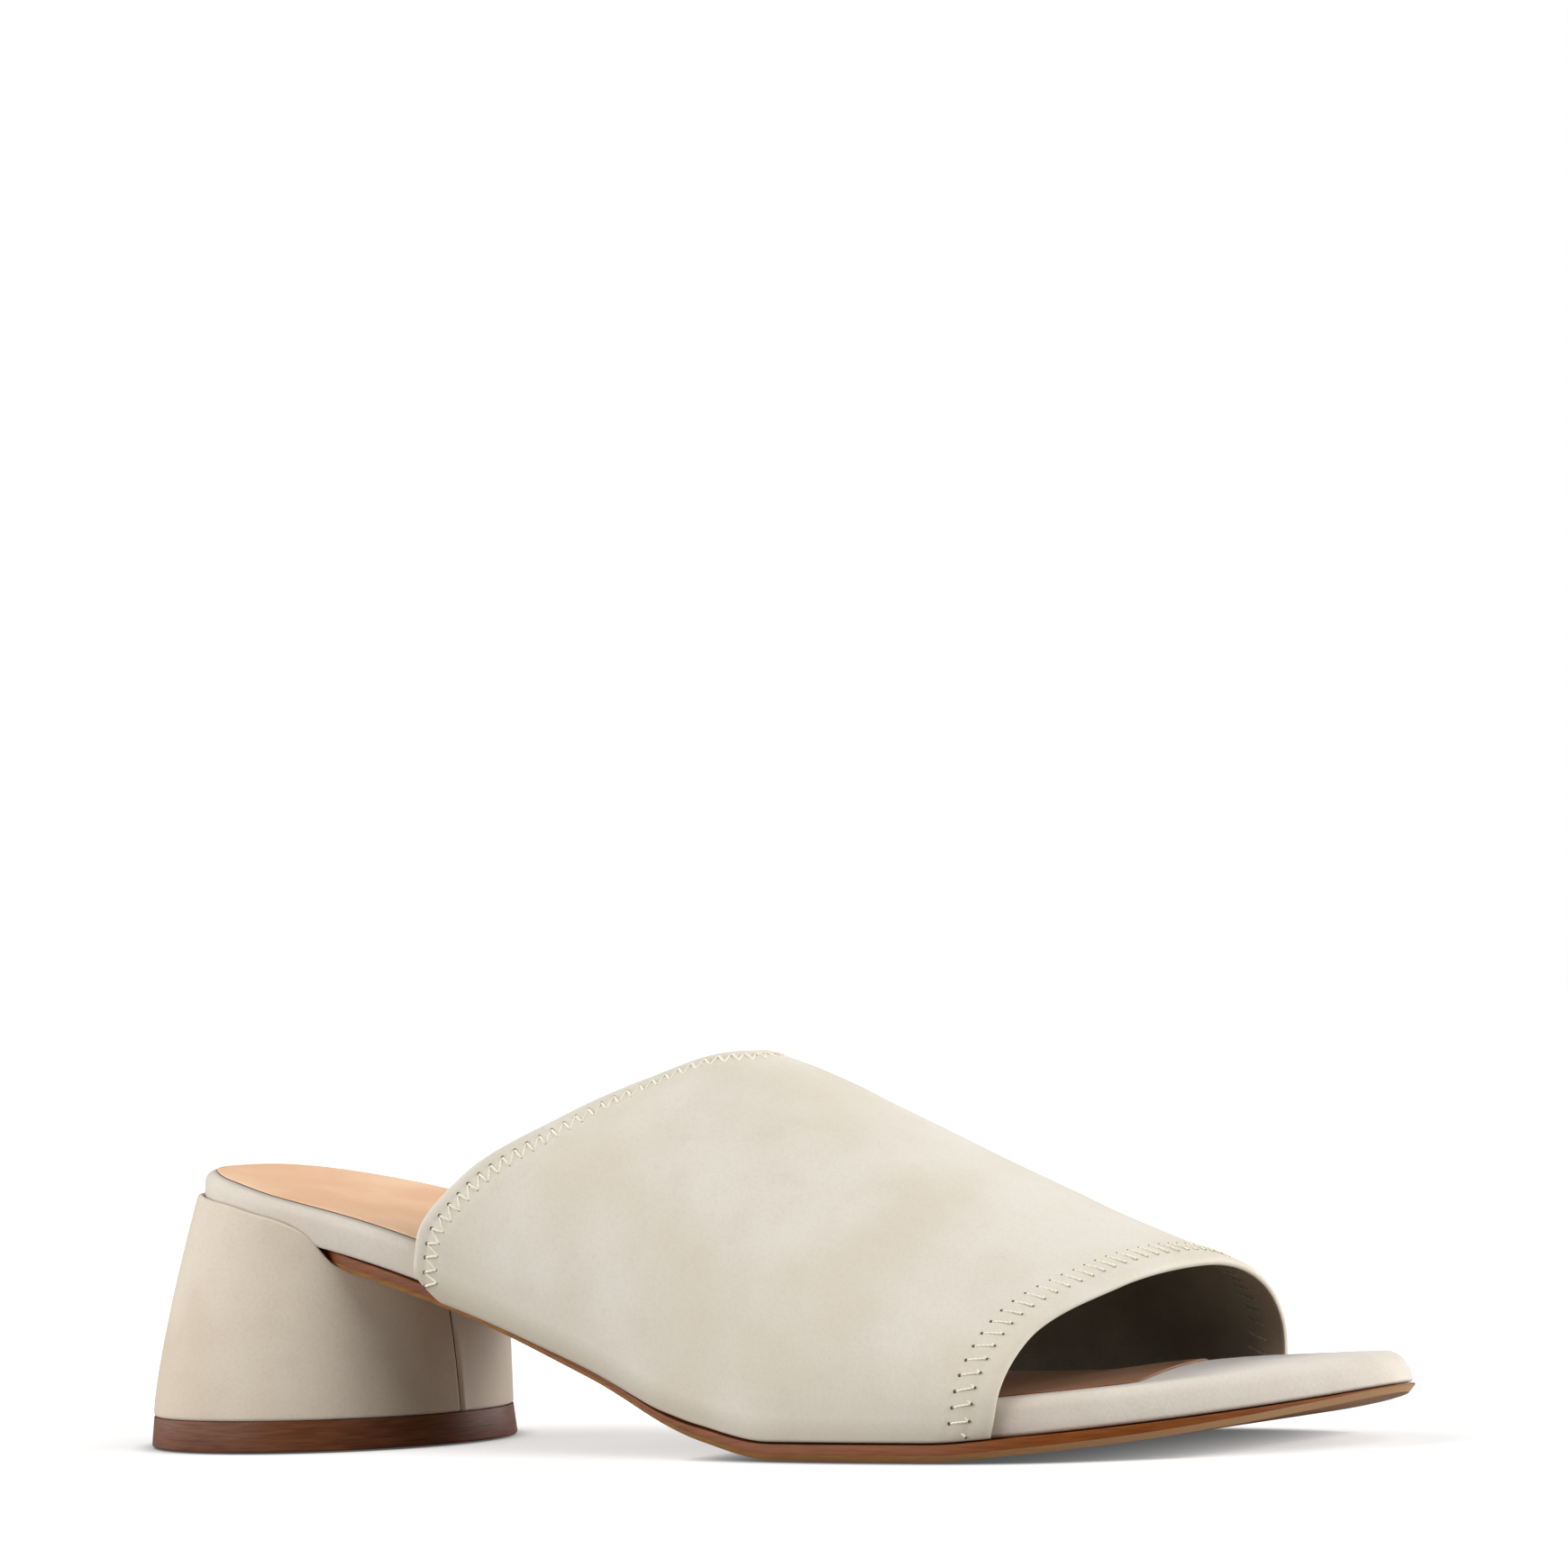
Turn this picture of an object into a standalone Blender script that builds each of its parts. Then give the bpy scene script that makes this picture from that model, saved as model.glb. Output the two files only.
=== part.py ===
"""Block heel mule sandal for the right foot, built as its maker would put it together.

The last's own frame has its origin on the floor under the back of the seat, +X to the toe,
+Y to the big toe side (medial) and +Z up. An empty then centres the finished shoe.
All lengths are in metres.
"""

import math
from collections import namedtuple

import bmesh
import bpy
import numpy as np
from mathutils import Vector

# Sizes of the last
last_length = 0.236
seat_width = 0.0546
waist_width = 0.0530
ball_width = 0.0775
heel_rise = 0.0400
toe_spring = 0.0070
instep_height = 0.0525
ridge_lean = 0.0100

# Sole and footbed
outsole_thickness = 0.0029
outsole_bevel = 0.0009
footbed_thickness = 0.0066
footbed_edge_radius = 0.0024
footbed_lower_radius = 0.0008
sock_thickness = 0.0012
sock_recess_depth = 0.0007
sock_margin = 0.0030
welt_step = 0.0010
seat_inset = 0.0032

# Upper
upper_wall = 0.0018

# Heel
heel_base_diameter = 0.0648
heel_breast = 0.0550
heel_cup_wall = 0.0012
heel_cup_lip = 0.0027
heel_ridge_sharpness = 18
heel_cover_round = 0.0008
top_piece_thickness = 0.0054
top_piece_flare = 0.0005

# Gap between pieces that touch on the real shoe
clearance = 0.0003

# How finely the faceted solids follow their curves
sole_stations = 50
heel_segments = 72
heel_rings = 10
rim_steps = 60
upper_steps_across = 44
upper_steps_along = 22
edge_arc_steps = 4
corner_angle = math.radians(35)

# Each row is a cross section of the sole. along is a share of last_length. lateral and medial are
# half widths as shares of the width named in follows. The sole's feather line, where footbed and
# outsole meet, stands outsole_thickness above the floor plus rise as a share of heel_rise and
# spring as a share of toe_spring. thick is a share of outsole_thickness.
SoleSection = namedtuple("SoleSection", "along lateral medial follows rise spring thick")
SOLE_SECTIONS = (
    SoleSection(0.000, 0.000, 0.000, "seat", 1.000, 0.00, 1.00),
    SoleSection(0.020, 0.228, 0.232, "seat", 0.990, 0.00, 1.00),
    SoleSection(0.060, 0.380, 0.384, "seat", 0.950, 0.00, 1.00),
    SoleSection(0.125, 0.478, 0.480, "seat", 0.870, 0.00, 1.00),
    SoleSection(0.200, 0.494, 0.500, "seat", 0.770, 0.00, 1.00),
    SoleSection(0.300, 0.514, 0.487, "waist", 0.590, 0.00, 1.00),
    SoleSection(0.420, 0.552, 0.491, "waist", 0.315, 0.00, 1.00),
    SoleSection(0.530, 0.440, 0.393, "ball", 0.070, 0.00, 1.00),
    SoleSection(0.600, 0.478, 0.445, "ball", 0.000, 0.00, 1.00),
    SoleSection(0.670, 0.490, 0.486, "ball", 0.000, 0.00, 1.00),
    SoleSection(0.730, 0.486, 0.508, "ball", 0.000, 0.00, 1.00),
    SoleSection(0.800, 0.450, 0.512, "ball", 0.000, 0.16, 0.98),
    SoleSection(0.870, 0.350, 0.480, "ball", 0.000, 0.38, 0.92),
    SoleSection(0.930, 0.215, 0.410, "ball", 0.000, 0.62, 0.80),
    SoleSection(0.970, 0.070, 0.320, "ball", 0.000, 0.82, 0.66),
    SoleSection(1.000, -0.120, 0.120, "ball", 0.000, 1.00, 0.52),
)

# Each row is how far the outsole stands out past the footbed: covered is the share of the upper's
# wall that it carries, step the share of welt_step, and tucked the share of seat_inset.
WeltSection = namedtuple("WeltSection", "along covered step tucked")
WELT_SECTIONS = (
    WeltSection(0.000, 0.0, 0.0, 1.00),
    WeltSection(0.150, 0.0, 0.0, 1.00),
    WeltSection(0.200, 0.0, 0.0, 0.20),
    WeltSection(0.260, 0.0, 0.0, 0.00),
    WeltSection(0.460, 0.0, 0.0, 0.00),
    WeltSection(0.540, 1.0, 0.0, 0.00),
    WeltSection(0.780, 1.1, 0.0, 0.00),
    WeltSection(0.860, 0.2, 0.7, 0.00),
    WeltSection(0.940, 0.0, 0.3, 0.00),
    WeltSection(1.000, 0.0, -0.3, 0.00),
)

# Each row is a cross section of the upper. height is a share of instep_height above the footbed,
# lean a share of ridge_lean towards the big toe, the two fullness values are the powers of the
# superellipse on each side, where 2 is an ellipse and more is squarer, and drop is the share of
# outsole_thickness by which the band's foot hangs past the feather line.
UpperSection = namedtuple("UpperSection", "along height lean lateral_fullness medial_fullness drop")
UPPER_SECTIONS = (
    UpperSection(0.22, 0.430, 0.50, 2.0, 2.2, 0.70),
    UpperSection(0.30, 0.600, 0.60, 2.0, 2.2, 0.70),
    UpperSection(0.36, 0.710, 0.65, 2.0, 2.2, 0.70),
    UpperSection(0.42, 0.850, 0.68, 2.0, 2.2, 0.45),
    UpperSection(0.48, 0.980, 0.70, 2.0, 2.2, 0.00),
    UpperSection(0.51, 0.990, 0.75, 2.0, 2.2, 0.00),
    UpperSection(0.54, 0.970, 0.80, 2.0, 2.2, 0.00),
    UpperSection(0.58, 0.917, 0.86, 1.9, 2.2, 0.00),
    UpperSection(0.62, 0.834, 0.88, 1.9, 2.2, 0.00),
    UpperSection(0.66, 0.749, 0.86, 1.9, 2.2, 0.00),
    UpperSection(0.73, 0.604, 0.82, 1.8, 2.2, 0.00),
    UpperSection(0.79, 0.470, 0.82, 1.7, 2.2, 0.00),
    UpperSection(0.87, 0.289, 0.85, 1.6, 2.2, 0.00),
)

# Each row is a place on the upper's two cut edges. around runs from the lateral foot, 0, over the
# ridge, 0.5, to the medial foot, 1. throat and vamp are shares of last_length.
EdgeSection = namedtuple("EdgeSection", "around throat vamp")
EDGE_SECTIONS = (
    EdgeSection(0.00, 0.285, 0.780),
    EdgeSection(0.06, 0.263, 0.783),
    EdgeSection(0.14, 0.266, 0.786),
    EdgeSection(0.24, 0.296, 0.795),
    EdgeSection(0.36, 0.370, 0.823),
    EdgeSection(0.50, 0.478, 0.840),
    EdgeSection(0.64, 0.410, 0.841),
    EdgeSection(0.76, 0.330, 0.839),
    EdgeSection(0.86, 0.284, 0.835),
    EdgeSection(0.94, 0.276, 0.831),
    EdgeSection(1.00, 0.298, 0.828),
)

# How much of the way round the band's plumb side walls take, at each foot
side_wall_share = 0.12

# Each row is the top edge of the heel's cup. lip is the share of heel_cup_lip above the feather
# line, and sole the share of the way down from there to the outsole's underside.
RimSection = namedtuple("RimSection", "along lip sole")
RIM_SECTIONS = (
    RimSection(0.000, 0.55, 0.0),
    RimSection(0.050, 0.80, 0.0),
    RimSection(0.090, 0.96, 0.0),
    RimSection(0.130, 1.00, 0.0),
    RimSection(0.155, 0.75, 0.0),
    RimSection(0.168, 0.20, 0.1),
    RimSection(0.178, 0.00, 0.6),
    RimSection(0.190, 0.00, 1.0),
)

# The sock's front end, from the lateral to the medial side. across is a share of half the
# ball_width and along a share of last_length.
SockSection = namedtuple("SockSection", "across along")
SOCK_SECTIONS = (
    SockSection(-1.0, 0.845),
    SockSection(-0.3, 0.838),
    SockSection(0.3, 0.820),
    SockSection(1.0, 0.760),
)


def monotone(xs, ys):
    """A smooth curve through a table's column that never overshoots between its rows."""
    xs, ys = np.array(xs, float), np.array(ys, float)
    step = np.diff(xs)
    slope = np.diff(ys) / step
    tangent = np.zeros(len(xs))
    for i in range(1, len(xs) - 1):
        if slope[i - 1] * slope[i] > 0:
            before, after = 2 * step[i] + step[i - 1], step[i] + 2 * step[i - 1]
            tangent[i] = (before + after) / (before / slope[i - 1] + after / slope[i])
    tangent[0], tangent[-1] = slope[0], slope[-1]

    def value(x):
        x = np.clip(np.asarray(x, float), xs[0], xs[-1])
        i = np.clip(np.searchsorted(xs, x, side="right") - 1, 0, len(step) - 1)
        h, u = step[i], (x - xs[i]) / step[i]
        return (
            ys[i] * (1 + 2 * u) * (1 - u) ** 2
            + tangent[i] * h * u * (1 - u) ** 2
            + ys[i + 1] * u**2 * (3 - 2 * u)
            + tangent[i + 1] * h * u**2 * (u - 1)
        )

    return value


def turn_of(along):
    """Where a share of the length falls on a half turn, so that heel and toe come out round."""
    return np.arccos(1 - 2 * np.clip(along, 0, 1)) / math.pi


def column(rows, name):
    return [getattr(row, name) for row in rows]


WIDTHS = {"seat": seat_width, "waist": waist_width, "ball": ball_width}
section_turns = [turn_of(row.along) for row in SOLE_SECTIONS]
lateral_width = monotone(section_turns, [row.lateral * WIDTHS[row.follows] for row in SOLE_SECTIONS])
medial_width = monotone(section_turns, [row.medial * WIDTHS[row.follows] for row in SOLE_SECTIONS])
feather_height = monotone(
    column(SOLE_SECTIONS, "along"),
    [
        outsole_thickness + row.rise * heel_rise + row.spring * toe_spring
        for row in SOLE_SECTIONS
    ],
)
outsole_depth = monotone(
    column(SOLE_SECTIONS, "along"), [row.thick * outsole_thickness for row in SOLE_SECTIONS]
)
welt_width = monotone(
    column(WELT_SECTIONS, "along"),
    [
        row.covered * (upper_wall + clearance) + row.step * welt_step - row.tucked * seat_inset
        for row in WELT_SECTIONS
    ],
)


def outline(grow):
    """Points round the footbed's outline, moved outwards by grow, a length or a function of along.

    The points run along the lateral side from heel to toe and back along the medial side. Point i
    and point -i are at the same station, so strips between them fill the outline.
    """
    turns = np.linspace(0, 1, sole_stations + 1)
    along = (1 - np.cos(math.pi * turns)) / 2
    lateral = np.column_stack([along * last_length, -lateral_width(turns)])
    medial = np.column_stack([along * last_length, medial_width(turns)])
    ring = np.vstack([lateral, medial[-2:0:-1]])
    tangent = np.roll(ring, -1, axis=0) - np.roll(ring, 1, axis=0)
    normal = np.column_stack([tangent[:, 1], -tangent[:, 0]])
    normal /= np.linalg.norm(normal, axis=1)[:, None]
    amount = grow(ring[:, 0] / last_length) if callable(grow) else grow
    return ring + normal * np.reshape(amount, (-1, 1))


def new_object(name, form, material=None):
    """Turns a bmesh into an object, smooth but for its corners."""
    mesh = bpy.data.meshes.new(name)
    form.to_mesh(mesh)
    form.free()
    mesh.shade_smooth()
    mesh.set_sharp_from_angle(angle=corner_angle)
    if material:
        mesh.materials.append(material)
    made = bpy.data.objects.new(name, mesh)
    bpy.context.scene.collection.objects.link(made)
    return made


def slab(name, rings, material=None):
    """A solid through rings of the outline, bottom first, closed by strips across it."""
    form = bmesh.new()
    loops = [[form.verts.new(point) for point in ring] for ring in rings]
    count = len(loops[0])
    for low, high in zip(loops, loops[1:]):
        for i in range(count):
            j = (i + 1) % count
            form.faces.new((low[i], low[j], high[j], high[i]))
    for loop, upwards in ((loops[0], False), (loops[-1], True)):
        for i in range(count // 2):
            corners = [loop[i], loop[i + 1], loop[-i - 1], loop[-i % count]]
            corners = list(dict.fromkeys(corners))
            form.faces.new(corners if upwards else corners[::-1])
    bmesh.ops.recalc_face_normals(form, faces=form.faces)
    return new_object(name, form, material)


def raised(ring, height):
    """A flat ring lifted onto the sole's own curve, height above the feather line."""
    return np.column_stack([ring, feather_height(ring[:, 0] / last_length) + height])


def underside(ring, height=0.0):
    """A flat ring at a height above the outsole's underside."""
    along = ring[:, 0] / last_length
    return np.column_stack([ring, feather_height(along) - outsole_depth(along) + height])


def cut(target, cutter):
    """Takes the cutter's form out of the target and keeps the cutter out of the model."""
    modifier = target.modifiers.new("cut " + cutter.name, "BOOLEAN")
    modifier.operation = "DIFFERENCE"
    modifier.solver = "EXACT"
    modifier.object = cutter
    cutter.hide_render = True
    cutter.display_type = "WIRE"


def finish(name, colour, roughness, sheen=0.0):
    material = bpy.data.materials.new(name)
    material.use_nodes = True
    shader = material.node_tree.nodes["Principled BSDF"]
    shader.inputs["Base Color"].default_value = (*colour, 1.0)
    shader.inputs["Roughness"].default_value = roughness
    shader.inputs["Metallic"].default_value = 0.0
    shader.inputs["Sheen Weight"].default_value = sheen
    return material


# Heights above the feather line
footbed_bottom = clearance
footbed_top = footbed_bottom + footbed_thickness
sock_bottom = footbed_top - sock_recess_depth + clearance


def make_outsole(material):
    """Thin sole with a bevelled lower edge, tucked in at the seat where the heel covers it."""
    bevelled = outline(lambda along: welt_width(along) - outsole_bevel)
    edge = outline(welt_width)
    rings = [
        underside(bevelled),
        underside(edge, outsole_bevel),
        raised(edge, 0),
    ]
    return slab("outsole", rings, material)


def footbed_profile():
    """Inset and height of the wrapped board's edge, from its underside to its top."""
    arc = [math.pi / 2 * step / edge_arc_steps for step in range(edge_arc_steps + 1)]
    low, high = footbed_lower_radius, footbed_edge_radius
    lower = [(low * (1 - math.sin(a)), low * (1 - math.cos(a))) for a in arc[::2]]
    upper = [(high * (1 - math.cos(a)), footbed_thickness - high * (1 - math.sin(a))) for a in arc]
    return lower + upper


def sock_ring(grow):
    """Outline of the sock: the footbed's, drawn in all round and cut off short of the toe."""
    ring = outline(grow - sock_margin)
    front = monotone(column(SOCK_SECTIONS, "across"), column(SOCK_SECTIONS, "along"))
    limit = front(ring[:, 1] / (ball_width / 2)) * last_length + grow
    ring[:, 0] = np.minimum(ring[:, 0], limit)
    return ring


def sock_slab(name, grow, bottom, top, material=None):
    """A sheet of the sock's shape between two heights above the feather line."""
    ring = sock_ring(grow)
    return slab(name, [raised(ring, bottom), raised(ring, top)], material)


def make_footbed(material):
    rings = [
        raised(outline(-inset), footbed_bottom + height) for inset, height in footbed_profile()
    ]
    footbed = slab("footbed", rings, material)
    recess = sock_slab(
        "sock_recess", clearance, footbed_top - sock_recess_depth, footbed_top + sock_thickness
    )
    cut(footbed, recess)
    return footbed


def make_sock(material):
    return sock_slab("insole_sock", 0.0, sock_bottom, sock_bottom + sock_thickness, material)


upper_height = monotone(
    column(UPPER_SECTIONS, "along"), [row.height * instep_height for row in UPPER_SECTIONS]
)
upper_lean = monotone(
    column(UPPER_SECTIONS, "along"), [row.lean * ridge_lean for row in UPPER_SECTIONS]
)
lateral_fullness = monotone(
    column(UPPER_SECTIONS, "along"), column(UPPER_SECTIONS, "lateral_fullness")
)
medial_fullness = monotone(
    column(UPPER_SECTIONS, "along"), column(UPPER_SECTIONS, "medial_fullness")
)
foot_drop = monotone(
    column(UPPER_SECTIONS, "along"), [row.drop * outsole_thickness for row in UPPER_SECTIONS]
)
throat_edge = monotone(column(EDGE_SECTIONS, "around"), column(EDGE_SECTIONS, "throat"))
vamp_edge = monotone(column(EDGE_SECTIONS, "around"), column(EDGE_SECTIONS, "vamp"))


def upper_point(along, around):
    """A point of the upper's outer face: a plumb side wall, then a quarter superellipse."""
    turn = turn_of(along)
    stand_off = clearance + upper_wall
    lateral = float(-(lateral_width(turn) + stand_off))
    medial = float(medial_width(turn) + stand_off)
    feather = float(feather_height(along))
    low = feather + clearance - float(foot_drop(along))
    spring = feather + footbed_top - footbed_edge_radius / 2
    ridge = feather + footbed_top + float(upper_height(along))
    ridge_y = (lateral + medial) / 2 + float(upper_lean(along))
    on_lateral = around <= 0.5
    share = around if on_lateral else 1 - around
    foot = lateral if on_lateral else medial
    if share < side_wall_share:
        return Vector((along * last_length, foot, low + (spring - low) * share / side_wall_share))
    fullness = lateral_fullness if on_lateral else medial_fullness
    power = 2 / float(fullness(along))
    angle = math.pi / 2 * (share - side_wall_share) / (0.5 - side_wall_share)
    y = ridge_y + (foot - ridge_y) * abs(math.cos(angle)) ** power
    z = spring + (ridge - spring) * math.sin(angle) ** power
    return Vector((along * last_length, y, z))


def make_upper(material):
    """One wide band from the lateral edge of the sole over the instep to the medial edge."""
    form = bmesh.new()
    rows = []
    for i in range(upper_steps_across + 1):
        around = i / upper_steps_across
        throat, vamp = float(throat_edge(around)), float(vamp_edge(around))
        shares = [j / upper_steps_along for j in range(upper_steps_along + 1)]
        rows.append(
            [form.verts.new(upper_point(throat + (vamp - throat) * s, around)) for s in shares]
        )
    for low, high in zip(rows, rows[1:]):
        for j in range(upper_steps_along):
            form.faces.new((low[j], low[j + 1], high[j + 1], high[j]))
    upper = new_object("upper", form, material)
    wall = upper.modifiers.new("wall", "SOLIDIFY")
    wall.thickness = upper_wall
    wall.offset = -1.0
    wall.use_even_offset = True
    return upper


heel_radius = heel_base_diameter / 2
heel_centre = heel_breast - heel_radius
heel_turns = np.linspace(-math.pi, math.pi, heel_segments, endpoint=False)


def cup_reach():
    """How far the cup stands out from the heel's axis: to the seat's outline or to the breast."""
    ring = outline(heel_cup_wall) - np.array([heel_centre, 0])
    angles = np.arctan2(ring[:, 1], ring[:, 0])
    order = np.argsort(angles)
    seat = np.interp(
        heel_turns, angles[order], np.linalg.norm(ring[order], axis=1), period=2 * math.pi
    )
    power = -heel_ridge_sharpness
    return (seat**power + heel_radius**power) ** (1 / power)


def heel_ring(height, share=0.0, grow=0.0):
    """A section of the heel, round at share 0 and as wide as the seat's cup at share 1."""
    reach = heel_radius + (cup_reach() - heel_radius) * share + grow
    x = heel_centre + reach * np.cos(heel_turns)
    y = reach * np.sin(heel_turns)
    return np.column_stack([x, y, np.full(heel_segments, height)])


def stack(name, rings, material=None):
    """A solid through round sections, bottom first, with flat ends."""
    form = bmesh.new()
    loops = [[form.verts.new(point) for point in ring] for ring in rings]
    for low, high in zip(loops, loops[1:]):
        for i in range(len(low)):
            j = (i + 1) % len(low)
            form.faces.new((low[i], low[j], high[j], high[i]))
    form.faces.new(loops[0][::-1])
    form.faces.new(loops[-1])
    bmesh.ops.recalc_face_normals(form, faces=form.faces)
    return new_object(name, form, material)


def make_top_piece(material):
    rings = [heel_ring(0, grow=top_piece_flare), heel_ring(top_piece_thickness)]
    return stack("top_piece", rings, material)


def rim_cutter():
    """Everything above the cup's top edge, as a side profile swept across the heel."""
    lip = monotone(
        column(RIM_SECTIONS, "along"),
        [
            row.lip * heel_cup_lip - row.sole * (outsole_thickness + clearance)
            for row in RIM_SECTIONS
        ],
    )
    stations = np.linspace(-heel_radius, heel_breast + heel_radius, rim_steps)
    low = feather_height(stations / last_length) + lip(stations / last_length)
    high = heel_rise + heel_base_diameter
    across = heel_base_diameter
    rings = []
    for x, z in zip(stations, low):
        rings.append([(x, -across, z), (x, across, z), (x, across, high), (x, -across, high)])
    return stack("above_rim", rings)


def make_heel(material):
    """Covered block, round on the floor and cupped above to carry the seat."""
    low = top_piece_thickness + clearance
    high = heel_rise + outsole_thickness + heel_cup_lip + clearance
    rings = [heel_ring(low, grow=-heel_cover_round)]
    for step in range(heel_rings + 1):
        share = step / heel_rings
        rings.append(heel_ring(low + heel_cover_round + (high - low) * share, share))
    heel = stack("heel", rings, material)

    sole = outline(lambda along: welt_width(along) + clearance)
    seat = outline(clearance)
    pocket = [
        underside(sole, -clearance),
        raised(sole, -clearance / 2),
        raised(seat, 0),
        raised(seat, footbed_thickness),
    ]
    cut(heel, slab("seat_pocket", pocket))
    cut(heel, rim_cutter())
    return heel


def centre_on_floor(pieces):
    """Hangs the pieces on an empty so that the shoe's box is centred on the origin."""
    corners = [Vector(v.co) for piece in pieces for v in piece.data.vertices]
    middle = [
        (min(c[axis] for c in corners) + max(c[axis] for c in corners)) / 2 for axis in (0, 1)
    ]
    frame = bpy.data.objects.new("shoe_frame", None)
    bpy.context.scene.collection.objects.link(frame)
    frame.location = (-middle[0], -middle[1], 0)
    for made in bpy.context.scene.objects:
        if made is not frame:
            made.parent = frame
    return frame


def main():
    for old in list(bpy.data.objects):
        bpy.data.objects.remove(old)
    nubuck = finish("stone nubuck", (0.62, 0.56, 0.48), 0.85, 0.3)
    pieces = [
        make_outsole(finish("tan sole leather", (0.42, 0.17, 0.07), 0.45)),
        make_footbed(nubuck),
        make_sock(finish("tan sock leather", (0.72, 0.36, 0.18), 0.5)),
        make_upper(nubuck),
        make_heel(nubuck),
        make_top_piece(finish("brown top piece rubber", (0.16, 0.06, 0.03), 0.5)),
    ]
    centre_on_floor(pieces)


main()
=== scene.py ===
import math
from collections import namedtuple

import bmesh
import bpy
import numpy as np
from mathutils import Matrix, Vector
from mathutils.kdtree import KDTree


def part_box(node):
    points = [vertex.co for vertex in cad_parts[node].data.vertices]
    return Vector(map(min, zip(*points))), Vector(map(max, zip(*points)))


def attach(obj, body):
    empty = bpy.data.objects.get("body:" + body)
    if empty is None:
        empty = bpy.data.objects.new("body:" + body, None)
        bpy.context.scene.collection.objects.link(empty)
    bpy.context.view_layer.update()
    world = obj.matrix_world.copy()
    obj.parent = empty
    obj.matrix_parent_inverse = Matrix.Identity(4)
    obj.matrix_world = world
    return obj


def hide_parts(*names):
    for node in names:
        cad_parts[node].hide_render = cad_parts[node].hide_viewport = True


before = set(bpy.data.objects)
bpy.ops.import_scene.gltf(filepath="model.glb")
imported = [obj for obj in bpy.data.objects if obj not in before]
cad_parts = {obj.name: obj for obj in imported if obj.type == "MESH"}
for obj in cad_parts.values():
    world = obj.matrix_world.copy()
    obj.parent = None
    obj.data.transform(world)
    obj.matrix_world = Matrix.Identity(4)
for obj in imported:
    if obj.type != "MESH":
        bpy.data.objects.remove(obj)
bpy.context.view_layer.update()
scene = bpy.context.scene
mm = 0.001

# The last has its origin on the floor under the back of the seat, x to the toe and y to the big toe
lastOrigin = Vector(
    (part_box("footbed")[0].x, (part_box("top_piece")[0].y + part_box("top_piece")[1].y) / 2, 0)
)
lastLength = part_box("footbed")[1].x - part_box("footbed")[0].x
print("frame loaded, last", round(lastLength * 1000, 1), "mm long")

last = {
    "seatWidth": 54.6 * mm,
    "waistWidth": 53.0 * mm,
    "ballWidth": 77.5 * mm,
    "heelRise": 40.0 * mm,
    "toeSpring": 7.0 * mm,
    "instepHeight": 52.5 * mm,
    "ridgeLean": 10.0 * mm,
    "outsoleThickness": 2.9 * mm,
    "footbedThickness": 6.6 * mm,
    "bandWall": 1.8 * mm,
    "gap": 0.3 * mm,
}


def table(columns, *rows):
    row = namedtuple("row", columns)
    return [row(*values) for values in rows]


# Along is a share of the last's length. Lateral and medial are half widths as shares of the width
# named in follows. Rise and spring lift the line where footbed and outsole meet.
soleSections = table(
    "along lateral medial follows rise spring thick",
    (0.000, 0.000, 0.000, "seatWidth", 1.000, 0.00, 1.00),
    (0.020, 0.228, 0.232, "seatWidth", 0.990, 0.00, 1.00),
    (0.060, 0.380, 0.384, "seatWidth", 0.950, 0.00, 1.00),
    (0.125, 0.478, 0.480, "seatWidth", 0.870, 0.00, 1.00),
    (0.200, 0.494, 0.500, "seatWidth", 0.770, 0.00, 1.00),
    (0.300, 0.514, 0.487, "waistWidth", 0.590, 0.00, 1.00),
    (0.420, 0.552, 0.491, "waistWidth", 0.315, 0.00, 1.00),
    (0.530, 0.440, 0.393, "ballWidth", 0.070, 0.00, 1.00),
    (0.600, 0.478, 0.445, "ballWidth", 0.000, 0.00, 1.00),
    (0.670, 0.490, 0.486, "ballWidth", 0.000, 0.00, 1.00),
    (0.730, 0.486, 0.508, "ballWidth", 0.000, 0.00, 1.00),
    (0.800, 0.450, 0.512, "ballWidth", 0.000, 0.16, 0.98),
    (0.870, 0.350, 0.480, "ballWidth", 0.000, 0.38, 0.92),
    (0.930, 0.215, 0.410, "ballWidth", 0.000, 0.62, 0.74),
    (0.970, 0.070, 0.320, "ballWidth", 0.000, 0.82, 0.56),
    (1.000, -0.120, 0.120, "ballWidth", 0.000, 1.00, 0.42),
)


def smoothCurve(xs, ys):  # never overshoots between its points
    xs, ys = np.array(xs, float), np.array(ys, float)
    step = np.diff(xs)
    slope = np.diff(ys) / step
    tangent = np.zeros(len(xs))
    for i in range(1, len(xs) - 1):
        if slope[i - 1] * slope[i] > 0:
            before, after = 2 * step[i] + step[i - 1], step[i] + 2 * step[i - 1]
            tangent[i] = (before + after) / (before / slope[i - 1] + after / slope[i])
    tangent[0], tangent[-1] = slope[0], slope[-1]

    def value(x):
        x = np.clip(np.asarray(x, float), xs[0], xs[-1])
        i = np.clip(np.searchsorted(xs, x, side="right") - 1, 0, len(step) - 1)
        h, u = step[i], (x - xs[i]) / step[i]
        return (
            ys[i] * (1 + 2 * u) * (1 - u) ** 2
            + tangent[i] * h * u * (1 - u) ** 2
            + ys[i + 1] * u**2 * (3 - 2 * u)
            + tangent[i + 1] * h * u**2 * (u - 1)
        )

    return value


def columnCurve(rows, across, column, scale=1.0):
    return smoothCurve(
        [getattr(row, across) for row in rows], [getattr(row, column) * scale for row in rows]
    )


def unit(vectors):
    return vectors / (np.linalg.norm(vectors, axis=-1, keepdims=True) + 1e-12)


def turnedTowards(vectors, wanted):
    return vectors if np.sum(vectors * wanted) >= 0 else -vectors


def runAlong(line):
    # the length from a line's start to each of its points
    return np.concatenate([[0], np.cumsum(np.linalg.norm(np.diff(line, axis=0), axis=1))])


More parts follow.
